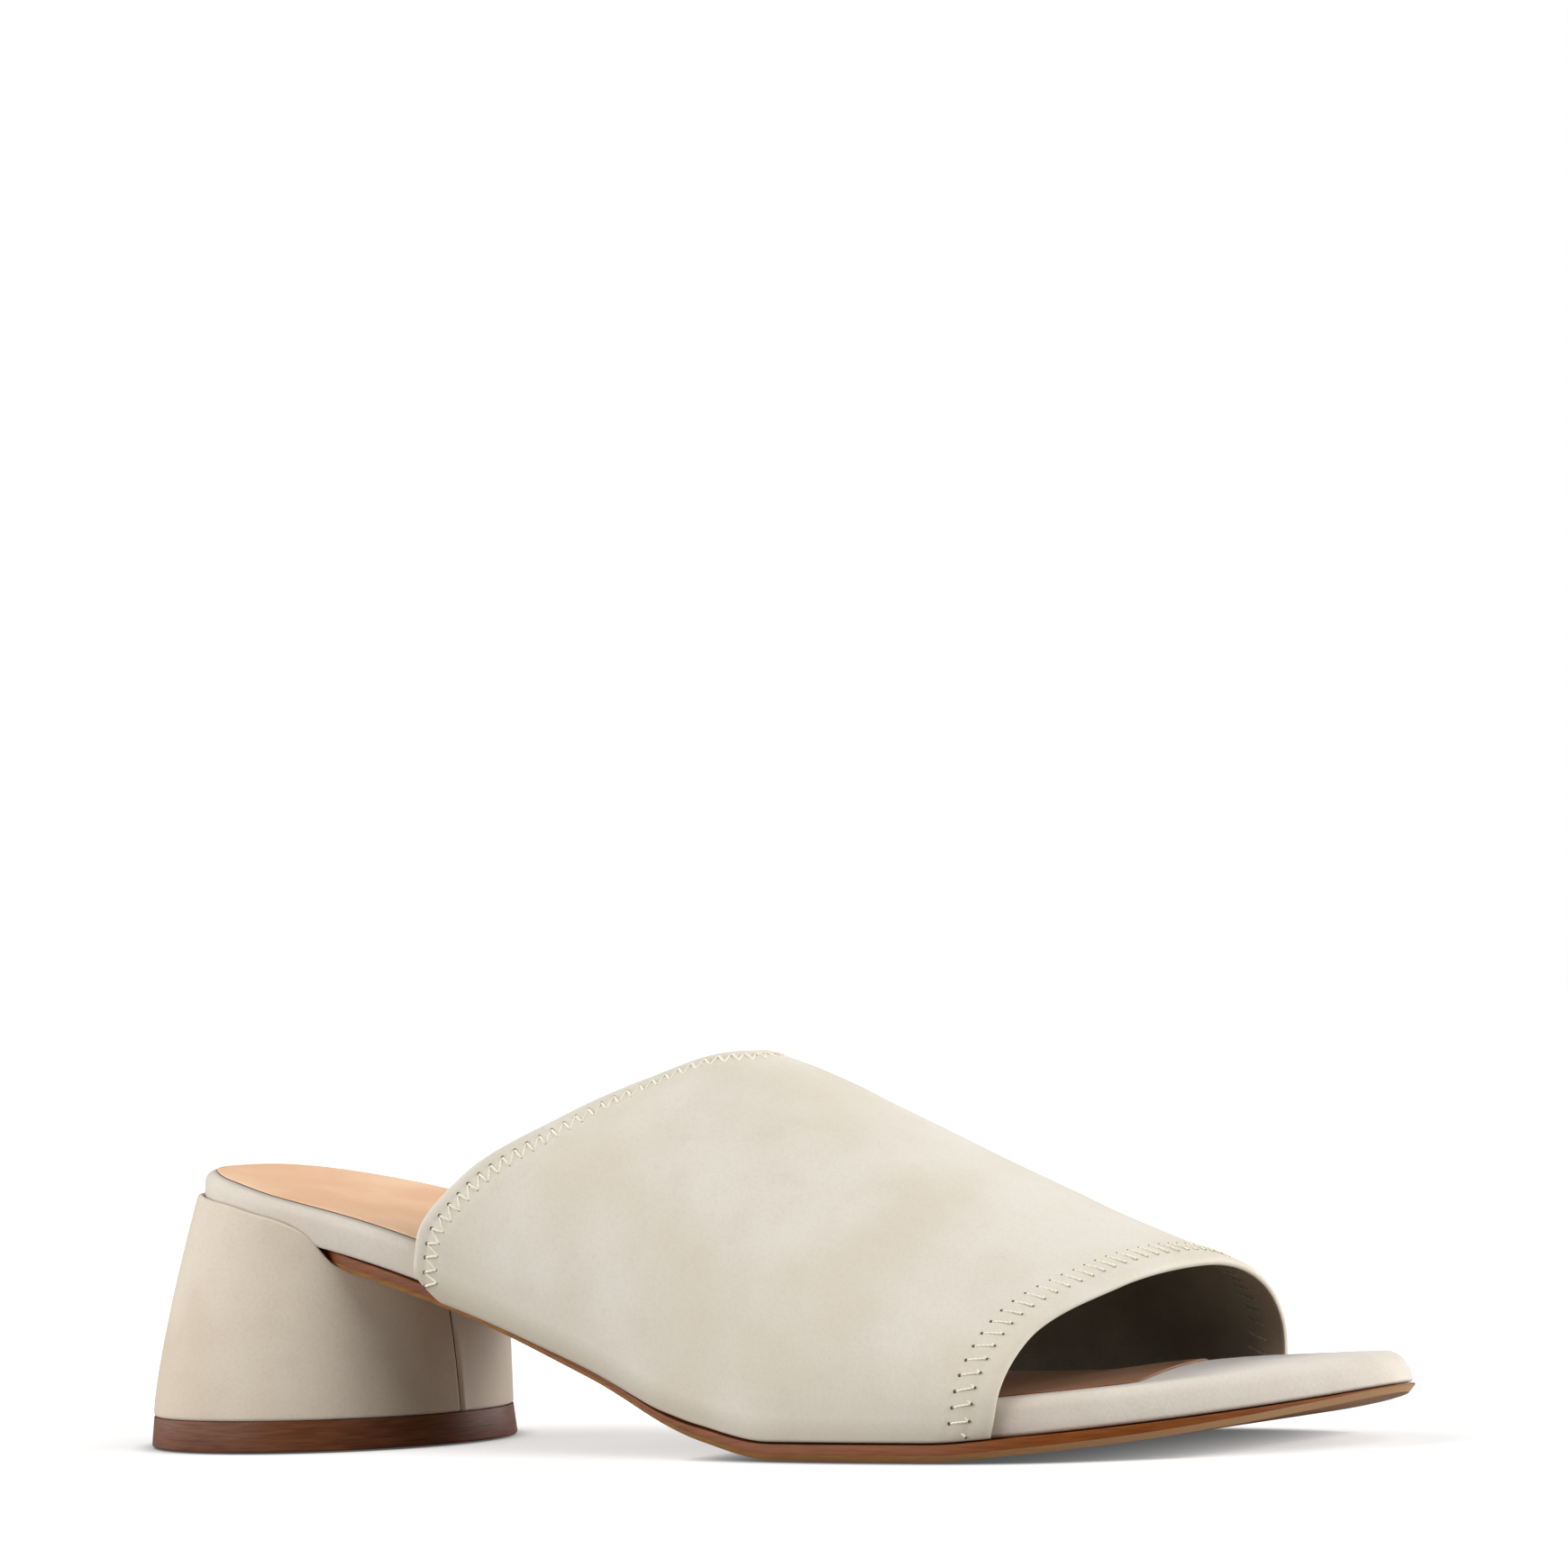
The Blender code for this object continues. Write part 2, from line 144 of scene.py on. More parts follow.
def turnOf(along):
    return np.arccos(1 - 2 * np.clip(along, 0, 1)) / math.pi


sectionTurns = [turnOf(row.along) for row in soleSections]
lateralWidth = smoothCurve(sectionTurns, [row.lateral * last[row.follows] for row in soleSections])
medialWidth = smoothCurve(sectionTurns, [row.medial * last[row.follows] for row in soleSections])
featherHeight = smoothCurve(
    [row.along for row in soleSections],
    [
        last["outsoleThickness"] + row.rise * last["heelRise"] + row.spring * last["toeSpring"]
        for row in soleSections
    ],
)
outsoleDepth = columnCurve(soleSections, "along", "thick", last["outsoleThickness"])
footbedTop = last["gap"] + last["footbedThickness"]  # above the feather line


def soleOutline(grow, stations=170):
    # from heel to toe along the lateral side and back along the medial side
    turns = np.linspace(0, 1, stations + 1)
    along = (1 - np.cos(math.pi * turns)) / 2
    lateral = np.column_stack([along * lastLength, -lateralWidth(turns)])
    medial = np.column_stack([along * lastLength, medialWidth(turns)])
    ring = np.vstack([lateral, medial[-2:0:-1]])
    tangent = np.roll(ring, -1, axis=0) - np.roll(ring, 1, axis=0)
    normal = unit(np.column_stack([tangent[:, 1], -tangent[:, 0]]))
    amount = grow(ring[:, 0] / lastLength) if callable(grow) else grow
    return ring + normal * np.reshape(amount, (-1, 1))


def onFeather(ring, height):
    return np.column_stack([ring, featherHeight(ring[:, 0] / lastLength) + height])


def onUnderside(ring, height=0.0):
    along = ring[:, 0] / lastLength
    return np.column_stack([ring, featherHeight(along) - outsoleDepth(along) + height])


def smoothStep(low, high, x):
    t = np.clip((x - low) / (high - low), 0, 1)
    return t * t * (3 - 2 * t)


def linked(name, data):
    made = bpy.data.objects.new(name, data)
    scene.collection.objects.link(made)
    return made


def addPiece(name, points, faces, materials, faceMaterials=None, sharpAngle=50, values=None):
    mesh = bpy.data.meshes.new(name)
    mesh.from_pydata([Vector(p) + lastOrigin for p in np.asarray(points)], [], faces)
    for material in materials:
        mesh.materials.append(material)
    if faceMaterials is not None:
        mesh.polygons.foreach_set("material_index", faceMaterials)
    for key, numbers in (values or {}).items():
        mesh.attributes.new(key, "FLOAT", "POINT").data.foreach_set("value", numbers)
    form = bmesh.new()
    form.from_mesh(mesh)
    bmesh.ops.recalc_face_normals(form, faces=form.faces)
    form.to_mesh(mesh)
    form.free()
    mesh.shade_smooth()
    mesh.set_sharp_from_angle(angle=math.radians(sharpAngle))
    return linked(name, mesh)


def settle(piece, node):
    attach(piece, "root")
    if node:
        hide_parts(node)
    print(piece.name, len(piece.data.polygons), "faces")


def ringStack(rings, acrossEnds=True):
    # rings of equal count from bottom to top, closed by strips across or by one flat face
    count = len(rings[0])
    faces = []
    for level in range(len(rings) - 1):
        low, high = level * count, (level + 1) * count
        for i in range(count):
            j = (i + 1) % count
            faces.append((low + i, low + j, high + j, high + i))
    for start in (0, (len(rings) - 1) * count):
        if not acrossEnds:
            faces.append(tuple(range(start, start + count)))
            continue
        for i in range(count // 2):
            corners = [start + i, start + i + 1, start + (-i - 1) % count, start + -i % count]
            faces.append(tuple(dict.fromkeys(corners)))
    return np.vstack(rings), faces


def levelMaterials(rings, faces, materialOfLevel, ends):
    # one material for each level between two rings, then one for each end
    picked = [m for m in materialOfLevel for _ in range(len(rings[0]))]
    endFaces = (len(faces) - len(picked)) // 2
    return picked + [ends[0]] * endFaces + [ends[1]] * endFaces


def quarterRound(radius, steps):
    # from the round's start to its end: how far it has left one face, how far it is from the other
    angles = [math.pi / 2 * step / steps for step in range(steps + 1)]
    return [(radius * (1 - math.cos(a)), radius * (1 - math.sin(a))) for a in angles]


def fromHex(text):
    parts = [int(text[i : i + 2], 16) / 255 for i in (1, 3, 5)]
    return [c / 12.92 if c <= 0.04045 else ((c + 0.055) / 1.055) ** 2.4 for c in parts] + [1.0]


def addNode(tree, kind, inputs=None, **settings):
    node = tree.nodes.new(kind)
    for key, value in settings.items():
        setattr(node, key, value)
    for socket, value in (inputs or {}).items():
        if isinstance(value, bpy.types.Node):
            value = value.outputs[0]
        if isinstance(value, bpy.types.NodeSocket):
            tree.links.new(value, node.inputs[socket])
        else:
            node.inputs[socket].default_value = value
    return node


def startMaterial(name, **surface):
    material = bpy.data.materials.new(name)
    material.use_nodes = True
    tree = material.node_tree
    shader = tree.nodes["Principled BSDF"]
    for key, value in surface.items():
        shader.inputs[key.replace("_", " ")].default_value = value
    place = addNode(tree, "ShaderNodeTexCoord").outputs["Object"]
    return material, tree, shader, place


def mixColours(tree, factor, first, second):
    mixed = addNode(tree, "ShaderNodeMix", {0: factor, 6: first, 7: second}, data_type="RGBA")
    return mixed.outputs[2]


def shadeBetween(tree, source, low, high, first, second, most=1.0, easing="LINEAR"):
    # from the first colour to the second while the source's value runs from low to high
    share = addNode(
        tree,
        "ShaderNodeMapRange",
        {"Value": source, "From Min": low, "From Max": high, "To Max": most},
        interpolation_type=easing,
    )
    return mixColours(tree, share, first, second)


def finishSurface(tree, shader, colour, height, distance, strength):
    bump = addNode(
        tree, "ShaderNodeBump", {"Height": height, "Distance": distance, "Strength": strength}
    )
    tree.links.new(colour, shader.inputs["Base Color"])
    tree.links.new(bump.outputs["Normal"], shader.inputs["Normal"])


def toned(material, source, start, end, tone, amount=1.0):
    # blends its colour towards a tone, in full at start and not at all at end, by an attribute of
    # the mesh or along the last, in shares of its length
    tree = material.node_tree
    colour = tree.nodes["Principled BSDF"].inputs["Base Color"]
    if source == "along":
        place = addNode(tree, "ShaderNodeTexCoord").outputs["Object"]
        value = addNode(tree, "ShaderNodeSeparateXYZ", {0: place}).outputs["X"]
        start, end = (lastOrigin.x + share * lastLength for share in (start, end))
    else:
        value = addNode(tree, "ShaderNodeAttribute", attribute_name=source).outputs["Fac"]
    plain = colour.links[0].from_socket
    tree.links.new(shadeBetween(tree, value, end, start, plain, fromHex(tone), amount), colour)


nubuckLook = {
    "cloud": 26 * mm,  # size of the dye's soft patches
    "mottle": 5 * mm,
    "grain": 0.55 * mm,  # the nap is finer than this on the real one, drawn coarse to show
    "relief": 0.05 * mm,
    "roughness": 0.86,
    "sheen": 0.22,
    "speckle": 0.22,
    "shade": 0.12,
}


def makeNubuck(name, pale, deep, fleck):
    # nubuck, buffed on the grain side: matt, a soft nap that breaks up the light, cloudy dye
    material, tree, shader, place = startMaterial(
        name,
        Roughness=nubuckLook["roughness"],
        Sheen_Weight=nubuckLook["sheen"],
        Sheen_Roughness=0.45,
        Specular_IOR_Level=0.25,
    )
    cloud, mottle, grain = (
        addNode(
            tree,
            "ShaderNodeTexNoise",
            {"Vector": place, "Scale": 1 / size, "Detail": detail, "Roughness": roughness},
        )
        for size, detail, roughness in (
            (nubuckLook["cloud"], 2.0, 0.5),
            (nubuckLook["mottle"], 4.0, 0.6),
            (nubuckLook["grain"], 3.0, 0.65),
        )
    )
    colour = shadeBetween(tree, cloud, 0.35, 0.65, fromHex(pale), fromHex(deep), easing="SMOOTHSTEP")
    colour = shadeBetween(tree, grain, 0.45, 0.8, colour, fromHex(fleck), nubuckLook["speckle"])
    colour = shadeBetween(tree, mottle, 0.5, 0.8, colour, fromHex(fleck), nubuckLook["shade"])
    height = addNode(tree, "ShaderNodeMath", {0: mottle, 1: 1.6, 2: grain}, operation="MULTIPLY_ADD")
    finishSurface(tree, shader, colour, height, nubuckLook["relief"], 0.8)
    return material


def makeSmoothLeather(name, pale, deep, roughness, coat, pore, relief, grainSize=1.2 * mm):
    # finished leather: a low sheen from its top coat, pores and a fine pebble that catch the light
    material, tree, shader, place = startMaterial(
        name, Roughness=roughness, Coat_Weight=coat, Coat_Roughness=0.35
    )
    cloud = addNode(
        tree, "ShaderNodeTexNoise", {"Vector": place, "Scale": 1 / (18 * mm), "Detail": 3.0}
    )
    pebble = addNode(
        tree,
        "ShaderNodeTexVoronoi",
        {"Vector": place, "Scale": 1 / grainSize, "Randomness": 1.0},
        feature="DISTANCE_TO_EDGE",
    )
    pores = addNode(tree, "ShaderNodeTexNoise", {"Vector": place, "Scale": 1 / pore, "Detail": 2.0})
    colour = shadeBetween(tree, cloud, 0.3, 0.7, fromHex(pale), fromHex(deep), easing="SMOOTHSTEP")
    colour = shadeBetween(tree, pores, 0.58, 0.75, colour, fromHex(deep), 0.35)
    crack = addNode(tree, "ShaderNodeMapRange", {"Value": pebble, "From Max": 0.12})
    height = addNode(tree, "ShaderNodeMath", {0: crack, 1: pores}, operation="SUBTRACT")
    finishSurface(tree, shader, colour, height, relief, 0.6)
    return material


def makeSoleEdge(name, top, bottom, roughness, coat, specular=0.2):
    # a split leather edge, sanded, dyed and waxed: faint fibre lines run round it
    material, tree, shader, place = startMaterial(
        name,
        Roughness=roughness,
        Coat_Weight=coat,
        Coat_Roughness=0.25,
        Specular_IOR_Level=specular,
    )
    stretched = addNode(tree, "ShaderNodeMapping", {"Vector": place, "Scale": (1.0, 1.0, 14.0)})
    fibre = addNode(
        tree, "ShaderNodeTexNoise", {"Vector": stretched, "Scale": 1 / (6 * mm), "Detail": 4.0}
    )
    colour = shadeBetween(tree, fibre, 0.35, 0.7, fromHex(top), fromHex(bottom))
    finishSurface(tree, shader, colour, fibre, 0.08 * mm, 0.6)
    return material


def makeThread(name, colour, shadow):
    # bonded polyester thread, two plies: its twist shows as slanting bands
    material, tree, shader, place = startMaterial(name, Roughness=0.55, Sheen_Weight=0.2)
    twist = addNode(
        tree,
        "ShaderNodeTexWave",
        {"Vector": place, "Scale": 1 / (1.4 * mm), "Distortion": 1.5},
        bands_direction="DIAGONAL",
    )
    bands = twist.outputs["Fac"]
    mixed = mixColours(tree, bands, fromHex(shadow), fromHex(colour))
    finishSurface(tree, shader, mixed, bands, 0.05 * mm, 0.5)
    return material


bandLook = {
    "pale": "#DCD5C9",
    "deep": "#D5CCBC",
    "fleck": "#B5AA99",
    "lining": "#89816F",
    "liningDeep": "#6F6858",
    "liningEdgeLight": "#A58F7C",
    "stepsOver": 190,
    "stepsBetween": 62,
    "coarseSteps": 121,
    "edgeSamples": 2400,
    "smoothings": 6,
    "wallHeight": 9.0 * mm,
    "creaseFade": (8 * mm, 20 * mm),  # creases begin this far from an edge
    "wallShare": 0.12,  # of the way round, for the plumb walls at the feet
    "hemPuff": 0.2 * mm,
    "hemFade": 3.0 * mm,
    "grooveDepth": 0.12 * mm,
    "grooveWidth": 0.8 * mm,
    "pucker": 0.35,  # the groove is deeper at each hole
    "rollHeight": 0.08 * mm,
    "edgeWall": 1.25 * mm,  # skived for the fold
    "skive": 6.0 * mm,
    "footRound": 0.6 * mm,
    "footFlat": 2.0 * mm,  # relief fades out this far from the feet and the edges
    "edgeFlat": 1.2 * mm,
}
hems = {
    # the two rows of holes, in distance from the edge, and the zigzag's pitch along it; skew moves
    # the far row, in pitches; every other leg of the thread is pulled in, to quietLift; start is
    # the first stitch's distance from the foot
    "throat": {
        "near": 2.8 * mm,
        "far": 5.3 * mm,
        "pitch": 2.45 * mm,
        "skew": -0.28,
        "nearHole": 1.0,
        "farHole": 0.55,
        "quietLeg": 1.0,
        "quietLift": 0.1,
        "start": 3.2 * mm,
        "threadRadius": 0.24 * mm,
    },
    "vamp": {
        "near": 3.9 * mm,
        "far": 7.4 * mm,
        "pitch": 2.75 * mm,
        "skew": 0.06,
        "nearHole": 0.75,
        "farHole": 1.0,
        "quietLeg": 0.0,
        "quietLift": -0.6,
        "start": 0.8 * mm,
        "threadRadius": 0.18 * mm,
    },
}

stoneNubuck = makeNubuck("buffed stone nubuck", bandLook["pale"], bandLook["deep"], bandLook["fleck"])
wrapNubuck = makeNubuck("stone nubuck wrapped on board", "#DCD3C7", "#D3C8BA", "#B2A494")
coverNubuck = makeNubuck("stone nubuck pulled over the heel", "#D9CCBA", "#D1C2AE", "#AE9C87")
lining = makeSmoothLeather(
    "taupe lining leather", bandLook["lining"], bandLook["liningDeep"], 0.7, 0.0, 0.4 * mm,
    0.05 * mm,
)
# painted shade: the footbed's top is coloured darker under the band, as in its shadow
toned(wrapNubuck, "shade", 1.0, 0.0, "#8F877D", 0.9)
# painted shade: the band is coloured darker towards its feet, where it meets the sole
toned(stoneNubuck, "footDistance", 0.0, 7 * mm, "#A39684", 0.6)
# painted light: the lining is coloured lighter within a few millimetres of the vamp's edge, where light
# reaches in
toned(lining, "vampDistance", 1 * mm, 9 * mm, bandLook["liningEdgeLight"], 0.75)
sockTan = makeSmoothLeather(
    "tan vegetable leather sock", "#FCD6B4", "#F2C39C", 0.5, 0.08, 0.5 * mm, 0.035 * mm
)
# painted shade: the sock is coloured darker towards the toe, where the band shades it
toned(sockTan, "along", 0.7, 0.45, "#7F5B42")
sockCut = makeSoleEdge("cut edge of the sock", "#80502F", "#63381F", 0.7, 0.0)
burnished = makeSoleEdge("burnished sole edge", "#84481B", "#6E3912", 0.45, 0.03)
chamfer = makeSoleEdge("scraped sole chamfer", "#AB7A48", "#97683A", 0.5, 0.0)
# pared thinner and paler towards the toe
toned(chamfer, "along", 0.95, 0.7, "#C79E78", 0.8)
soleLeather = makeSmoothLeather(
    "tan sole leather", "#C58A58", "#A96D40", 0.5, 0.1, 0.6 * mm, 0.05 * mm, 2.0 * mm
)
liftBrown = makeSoleEdge("polished brown heel lift", "#74452A", "#5A321C", 0.5, 0.05, 0.15)
creamThread = makeThread("cream polyester thread", "#FBF5E6", "#E9DFC8")
# the bobbin thread inside is real; its darker colour is painted shade of the band's inside
shadedBobbinThread = makeThread("taupe bobbin thread with painted shade", "#A09282", "#85786A")
needleHole = makeSoleEdge("shadow in a needle hole", "#6A5F52", "#5A5045", 0.95, 0.0)
# the seam's cut edges, coloured darker so that they also stand for the shade in its groove: partly
# painted shade
seamCutAndShade = makeSoleEdge("cut edges and painted shade in the heel seam", "#5E4834", "#4A3727", 0.9, 0.0)
# painted light: the heel cover is coloured paler just beyond its seam, as on its lit side
toned(coverNubuck, "paintedLight", 1.0, 0.0, "#EDE2D3", 0.6)
print("materials made")

outsole = {
    "chamfer": 1.1 * mm,
    "underRing": 1.5 * mm,  # in from the chamfer, keeps the underside flat there
    "topRound": 0.25 * mm,
    "welt": 1.0 * mm,
    "seatInset": 3.2 * mm,
    "tuck": 0.15 * mm,  # how far the edge stays inside the band's face
    "cement": 2.6 * mm,
    "cementStep": 0.4 * mm,
}
weltSections = table(
    "along covered step tucked rebate",
    (0.000, 0.00, 0.0, 1.00, 0.00),
    (0.150, 0.00, 0.0, 1.00, 0.00),
    (0.200, 0.00, 0.0, 0.20, 0.00),
    (0.260, 0.00, 0.0, 0.00, 0.00),
    (0.405, 0.00, 0.0, 0.00, 0.00),
    (0.450, 0.42, 0.0, 0.00, 0.34),
    (0.485, 0.75, 0.0, 0.00, 0.33),
    (0.540, 0.88, 0.0, 0.00, 0.12),
    (0.600, 1.00, 0.0, 0.00, 0.03),
    (0.780, 1.10, 0.0, 0.00, 0.00),
    (0.860, 0.20, 0.7, 0.00, 0.00),
    (0.940, 0.00, 0.3, 0.00, 0.00),
    (1.000, 0.00, -0.3, 0.00, 0.00),
)
weltWidth = smoothCurve(
    [row.along for row in weltSections],
    [
        row.covered * (last["bandWall"] + last["gap"] - outsole["tuck"])
        + row.step * outsole["welt"]
        - row.tucked * outsole["seatInset"]
        for row in weltSections
    ],
)
rebate = columnCurve(weltSections, "along", "rebate", last["outsoleThickness"])


def soleRing(inset):
    return soleOutline(lambda along: weltWidth(along) - inset)


def soleTop(inset, below):
    # cut down a little where the band's foot hangs over the edge
    ring = soleRing(inset)
    return onFeather(ring, -below - rebate(ring[:, 0] / lastLength))


rings = [
    onUnderside(soleRing(outsole["chamfer"] + outsole["underRing"])),
    onUnderside(soleRing(outsole["chamfer"])),
    onUnderside(soleRing(0), outsole["chamfer"]),
    soleTop(0, outsole["topRound"]),
    soleTop(outsole["topRound"] * 0.3, outsole["topRound"] * 0.3),
    soleTop(outsole["topRound"], 0),
    soleTop(outsole["cement"], 0),
    # glued to the footbed
    onFeather(soleRing(outsole["cement"] + outsole["cementStep"]), last["gap"]),
]
points, faces = ringStack(rings)
picked = levelMaterials(rings, faces, [2, 1, 0, 0, 0, 0, 0], (2, 2))
sole = addPiece("leatherSole", points, faces, [burnished, chamfer, soleLeather], picked, 30)
settle(sole, "outsole")

footbed = {
    "edgeRadius": 2.4 * mm,
    "lowerRadius": 0.8 * mm,
    "sideSwell": 0.12 * mm,
    "recess": 0.7 * mm,
    "slantFoot": 0.15,  # the share of the slant that reaches the feather line
    "slantPower": 1.3,
    "crownStarts": (0.55, 0.8),
    "crownShift": 0.3,  # the forepart is fullest nearer the big toe, as a share of its half width
    "topRings": 9,
    "firstTopRing": 11,
    "shadeEnds": (0.87, 0.95),  # painted shade: the top is coloured darker under the band, as in its shadow, up to here
}
# thin and slant lower and draw in the top edge towards the toe, crown domes or dishes the middle
boardSections = table(
    "along thin slant crown",
    (0.00, 0.0 * mm, 0.0 * mm, -0.2 * mm),
    (0.12, 0.0 * mm, 0.0 * mm, -0.9 * mm),
    (0.35, 0.0 * mm, 0.0 * mm, -0.6 * mm),
    (0.55, 0.0 * mm, 0.0 * mm, 0.3 * mm),
    (0.74, 0.2 * mm, 0.0 * mm, 1.5 * mm),
    (0.84, 0.4 * mm, 0.3 * mm, 2.2 * mm),
    (0.92, 0.7 * mm, 1.0 * mm, 1.3 * mm),
    (0.97, 1.2 * mm, 1.9 * mm, 0.5 * mm),
    (1.00, 2.2 * mm, 3.0 * mm, 0.0 * mm),
)
boardThin, boardSlant, boardCrown = (
    columnCurve(boardSections, "along", column) for column in ("thin", "slant", "crown")
)
sock = {
    "margin": 3.0 * mm,
    "backMargin": 2.0 * mm,
    "backReach": 0.1,  # as a share of the last
    "seam": 0.1 * mm,
    "thickness": 0.9 * mm,
    "edgeRound": 0.3 * mm,
    "cornerRound": 1.6 * mm,
    "swell": 0.12 * mm,
    "swellSteps": ((1.2 * mm, 0.25), (3.0 * mm, 0.7), (6.0 * mm, 1.0)),
}
# the sock's front end, across from the lateral side, -1, to the medial side, 1
sockEndSections = table("across along", (-1.0, 0.880), (-0.3, 0.856), (0.3, 0.831), (1.0, 0.775))
sockEnd = columnCurve(sockEndSections, "across", "along")


def sockRing(grow):
    spare = sock["margin"] - sock["backMargin"]
    reach = sock["backReach"]
    ring = soleOutline(lambda along: grow - sock["margin"] + spare * (1 - smoothStep(0, reach, along)))
    limit = sockEnd(ring[:, 1] / (last["ballWidth"] / 2)) * lastLength + grow
    k = sock["cornerRound"]
    ring[:, 0] = -k * np.logaddexp(-ring[:, 0] / k, -limit / k)
    return ring


def onBoard(ring, height):
    # height above the feather line where the board is full, less where it thins
    along = ring[:, 0] / lastLength
    turn = turnOf(along)
    half = (medialWidth(turn) + lateralWidth(turn)) / 2 + 0.1 * mm
    shift = footbed["crownShift"] * smoothStep(*footbed["crownStarts"], along)
    away = ring[:, 1] - (medialWidth(turn) - lateralWidth(turn)) / 2 - shift * half
    away = np.abs(away) / (half * np.where(away > 0, 1 - shift, 1 + shift))
    dome = boardCrown(along) * (1 - np.clip(away, 0, 1) ** 2)
    share = height / footbedTop
    return onFeather(ring, height - boardThin(along) * share + dome * share)


def boardRing(inset, height):
    rise = (height / footbedTop) ** footbed["slantPower"]
    share = footbed["slantFoot"] + (1 - footbed["slantFoot"]) * rise
    return onBoard(soleOutline(lambda along: -inset - boardSlant(along) * share), height)


rings = [
    boardRing(inset, last["gap"] + above)
    for above, inset in quarterRound(footbed["lowerRadius"], 4)
]
middle = (footbed["lowerRadius"] + last["footbedThickness"] - footbed["edgeRadius"]) / 2
rings.append(boardRing(-footbed["sideSwell"], last["gap"] + middle))
rings += [
    boardRing(inset, footbedTop - below) for inset, below in quarterRound(footbed["edgeRadius"], 8)
]
rim, inner = rings[-1][:, :2], sockRing(sock["seam"])
for step in range(1, footbed["topRings"] + 1):
    t = step / footbed["topRings"]
    rings.append(onBoard(rim * (1 - t) + inner * t, footbedTop))
rings.append(onBoard(inner, footbedTop - footbed["recess"]))
points, faces = ringStack(rings)
onTop = np.clip((np.arange(len(rings)) - footbed["firstTopRing"]) / 3, 0, 1)
# painted shade on the top surface under the band, fading out towards the toe
covered = 1 - smoothStep(*footbed["shadeEnds"], points[:, 0] / lastLength)
shade = covered * np.repeat(onTop, len(rings[0]))
wrap = addPiece("wrappedFootbed", points, faces, [wrapNubuck], sharpAngle=60, values={"shade": shade})
settle(wrap, "footbed")

sockBottom = footbedTop - footbed["recess"] + sock["seam"]
sockTop = sockBottom + sock["thickness"]
rings = [onBoard(sockRing(0), sockBottom)]
for inset, below in quarterRound(sock["edgeRound"], 3):
    rings.append(onBoard(sockRing(-inset), sockTop - below))
for inset, swell in sock["swellSteps"]:
    rings.append(onBoard(sockRing(-inset), sockTop + sock["swell"] * swell))
outerRing = rings[-1][:, :2]
mirrored = np.column_stack([outerRing[:, 0], np.roll(outerRing[::-1, 1], 1)])
for share in (0.2, 0.4, 0.6, 0.8, 0.97):  # towards the middle line, so that the dish shows
    drawn = outerRing.copy()
    drawn[:, 1] = outerRing[:, 1] * (1 - share / 2) + mirrored[:, 1] * share / 2
    rings.append(onBoard(drawn, sockTop + sock["swell"]))
points, faces = ringStack(rings)
picked = levelMaterials(rings, faces, [1, 1] + [0] * (len(rings) - 3), (1, 0))
insole = addPiece("insoleSock", points, faces, [sockTan, sockCut], picked, 70)
settle(insole, "insole_sock")

bandSections = table(
    "along height lean lateralFullness medialFullness drop",
    (0.22, 0.430, 0.50, 2.0, 2.2, 0.70),
    (0.30, 0.600, 0.60, 2.0, 2.2, 0.62),
    (0.36, 0.710, 0.65, 2.0, 2.2, 0.48),
    (0.42, 0.850, 0.68, 2.0, 2.2, 0.31),
    (0.48, 0.980, 0.70, 2.0, 2.2, 0.32),
    (0.51, 0.990, 0.75, 2.0, 2.2, 0.16),
    (0.54, 0.970, 0.80, 2.0, 2.2, 0.08),
    (0.58, 0.917, 0.86, 1.9, 2.2, 0.03),
    (0.62, 0.834, 0.88, 1.9, 2.2, 0.00),
    (0.66, 0.749, 0.86, 1.9, 2.2, 0.00),
    (0.73, 0.604, 0.82, 1.8, 2.2, 0.00),
    (0.79, 0.470, 0.82, 1.7, 2.2, 0.00),
    (0.87, 0.289, 0.85, 1.6, 2.2, 0.00),
)
# around runs from the lateral foot, 0, over the ridge, 0.5, to the medial foot, 1
edgeSections = table(
    "around throat vamp",
    (0.00, 0.285, 0.780),
    (0.06, 0.263, 0.783),
    (0.14, 0.266, 0.786),
    (0.24, 0.296, 0.795),
    (0.36, 0.370, 0.823),
    (0.50, 0.478, 0.840),
    (0.64, 0.410, 0.841),
    (0.76, 0.330, 0.839),
    (0.86, 0.284, 0.835),
    (0.94, 0.276, 0.831),
    (1.00, 0.298, 0.828),
)
# soft troughs from one point of the band to another, negative depths are ridges
creases = table(
    "startAlong startAround endAlong endAround width depth",
    (0.40, 0.20, 0.55, 0.10, 9 * mm, 0.28 * mm),
    (0.52, 0.30, 0.66, 0.16, 12 * mm, 0.25 * mm),
    (0.62, 0.38, 0.74, 0.25, 9 * mm, -0.22 * mm),
    (0.36, 0.28, 0.46, 0.36, 8 * mm, -0.22 * mm),
    (0.70, 0.20, 0.76, 0.30, 6 * mm, 0.18 * mm),
    (0.45, 0.70, 0.62, 0.82, 10 * mm, 0.45 * mm),
    (0.60, 0.62, 0.72, 0.76, 9 * mm, -0.40 * mm),
)
bandHeight = columnCurve(bandSections, "along", "height", last["instepHeight"])
bandLean = columnCurve(bandSections, "along", "lean", last["ridgeLean"])
lateralFullness = columnCurve(bandSections, "along", "lateralFullness")
medialFullness = columnCurve(bandSections, "along", "medialFullness")
footDrop = columnCurve(bandSections, "along", "drop", last["outsoleThickness"])
throatEdge = columnCurve(edgeSections, "around", "throat")
vampEdge = columnCurve(edgeSections, "around", "vamp")
# the stitching runs on straight where the throat's edge is cut back at the feet
uncutSections = (
    edgeSections[0]._replace(throat=edgeSections[1].throat),
    *edgeSections[1:-1],
    edgeSections[-1]._replace(throat=edgeSections[-2].throat),
)
throatSeam = columnCurve(uncutSections, "around", "throat")


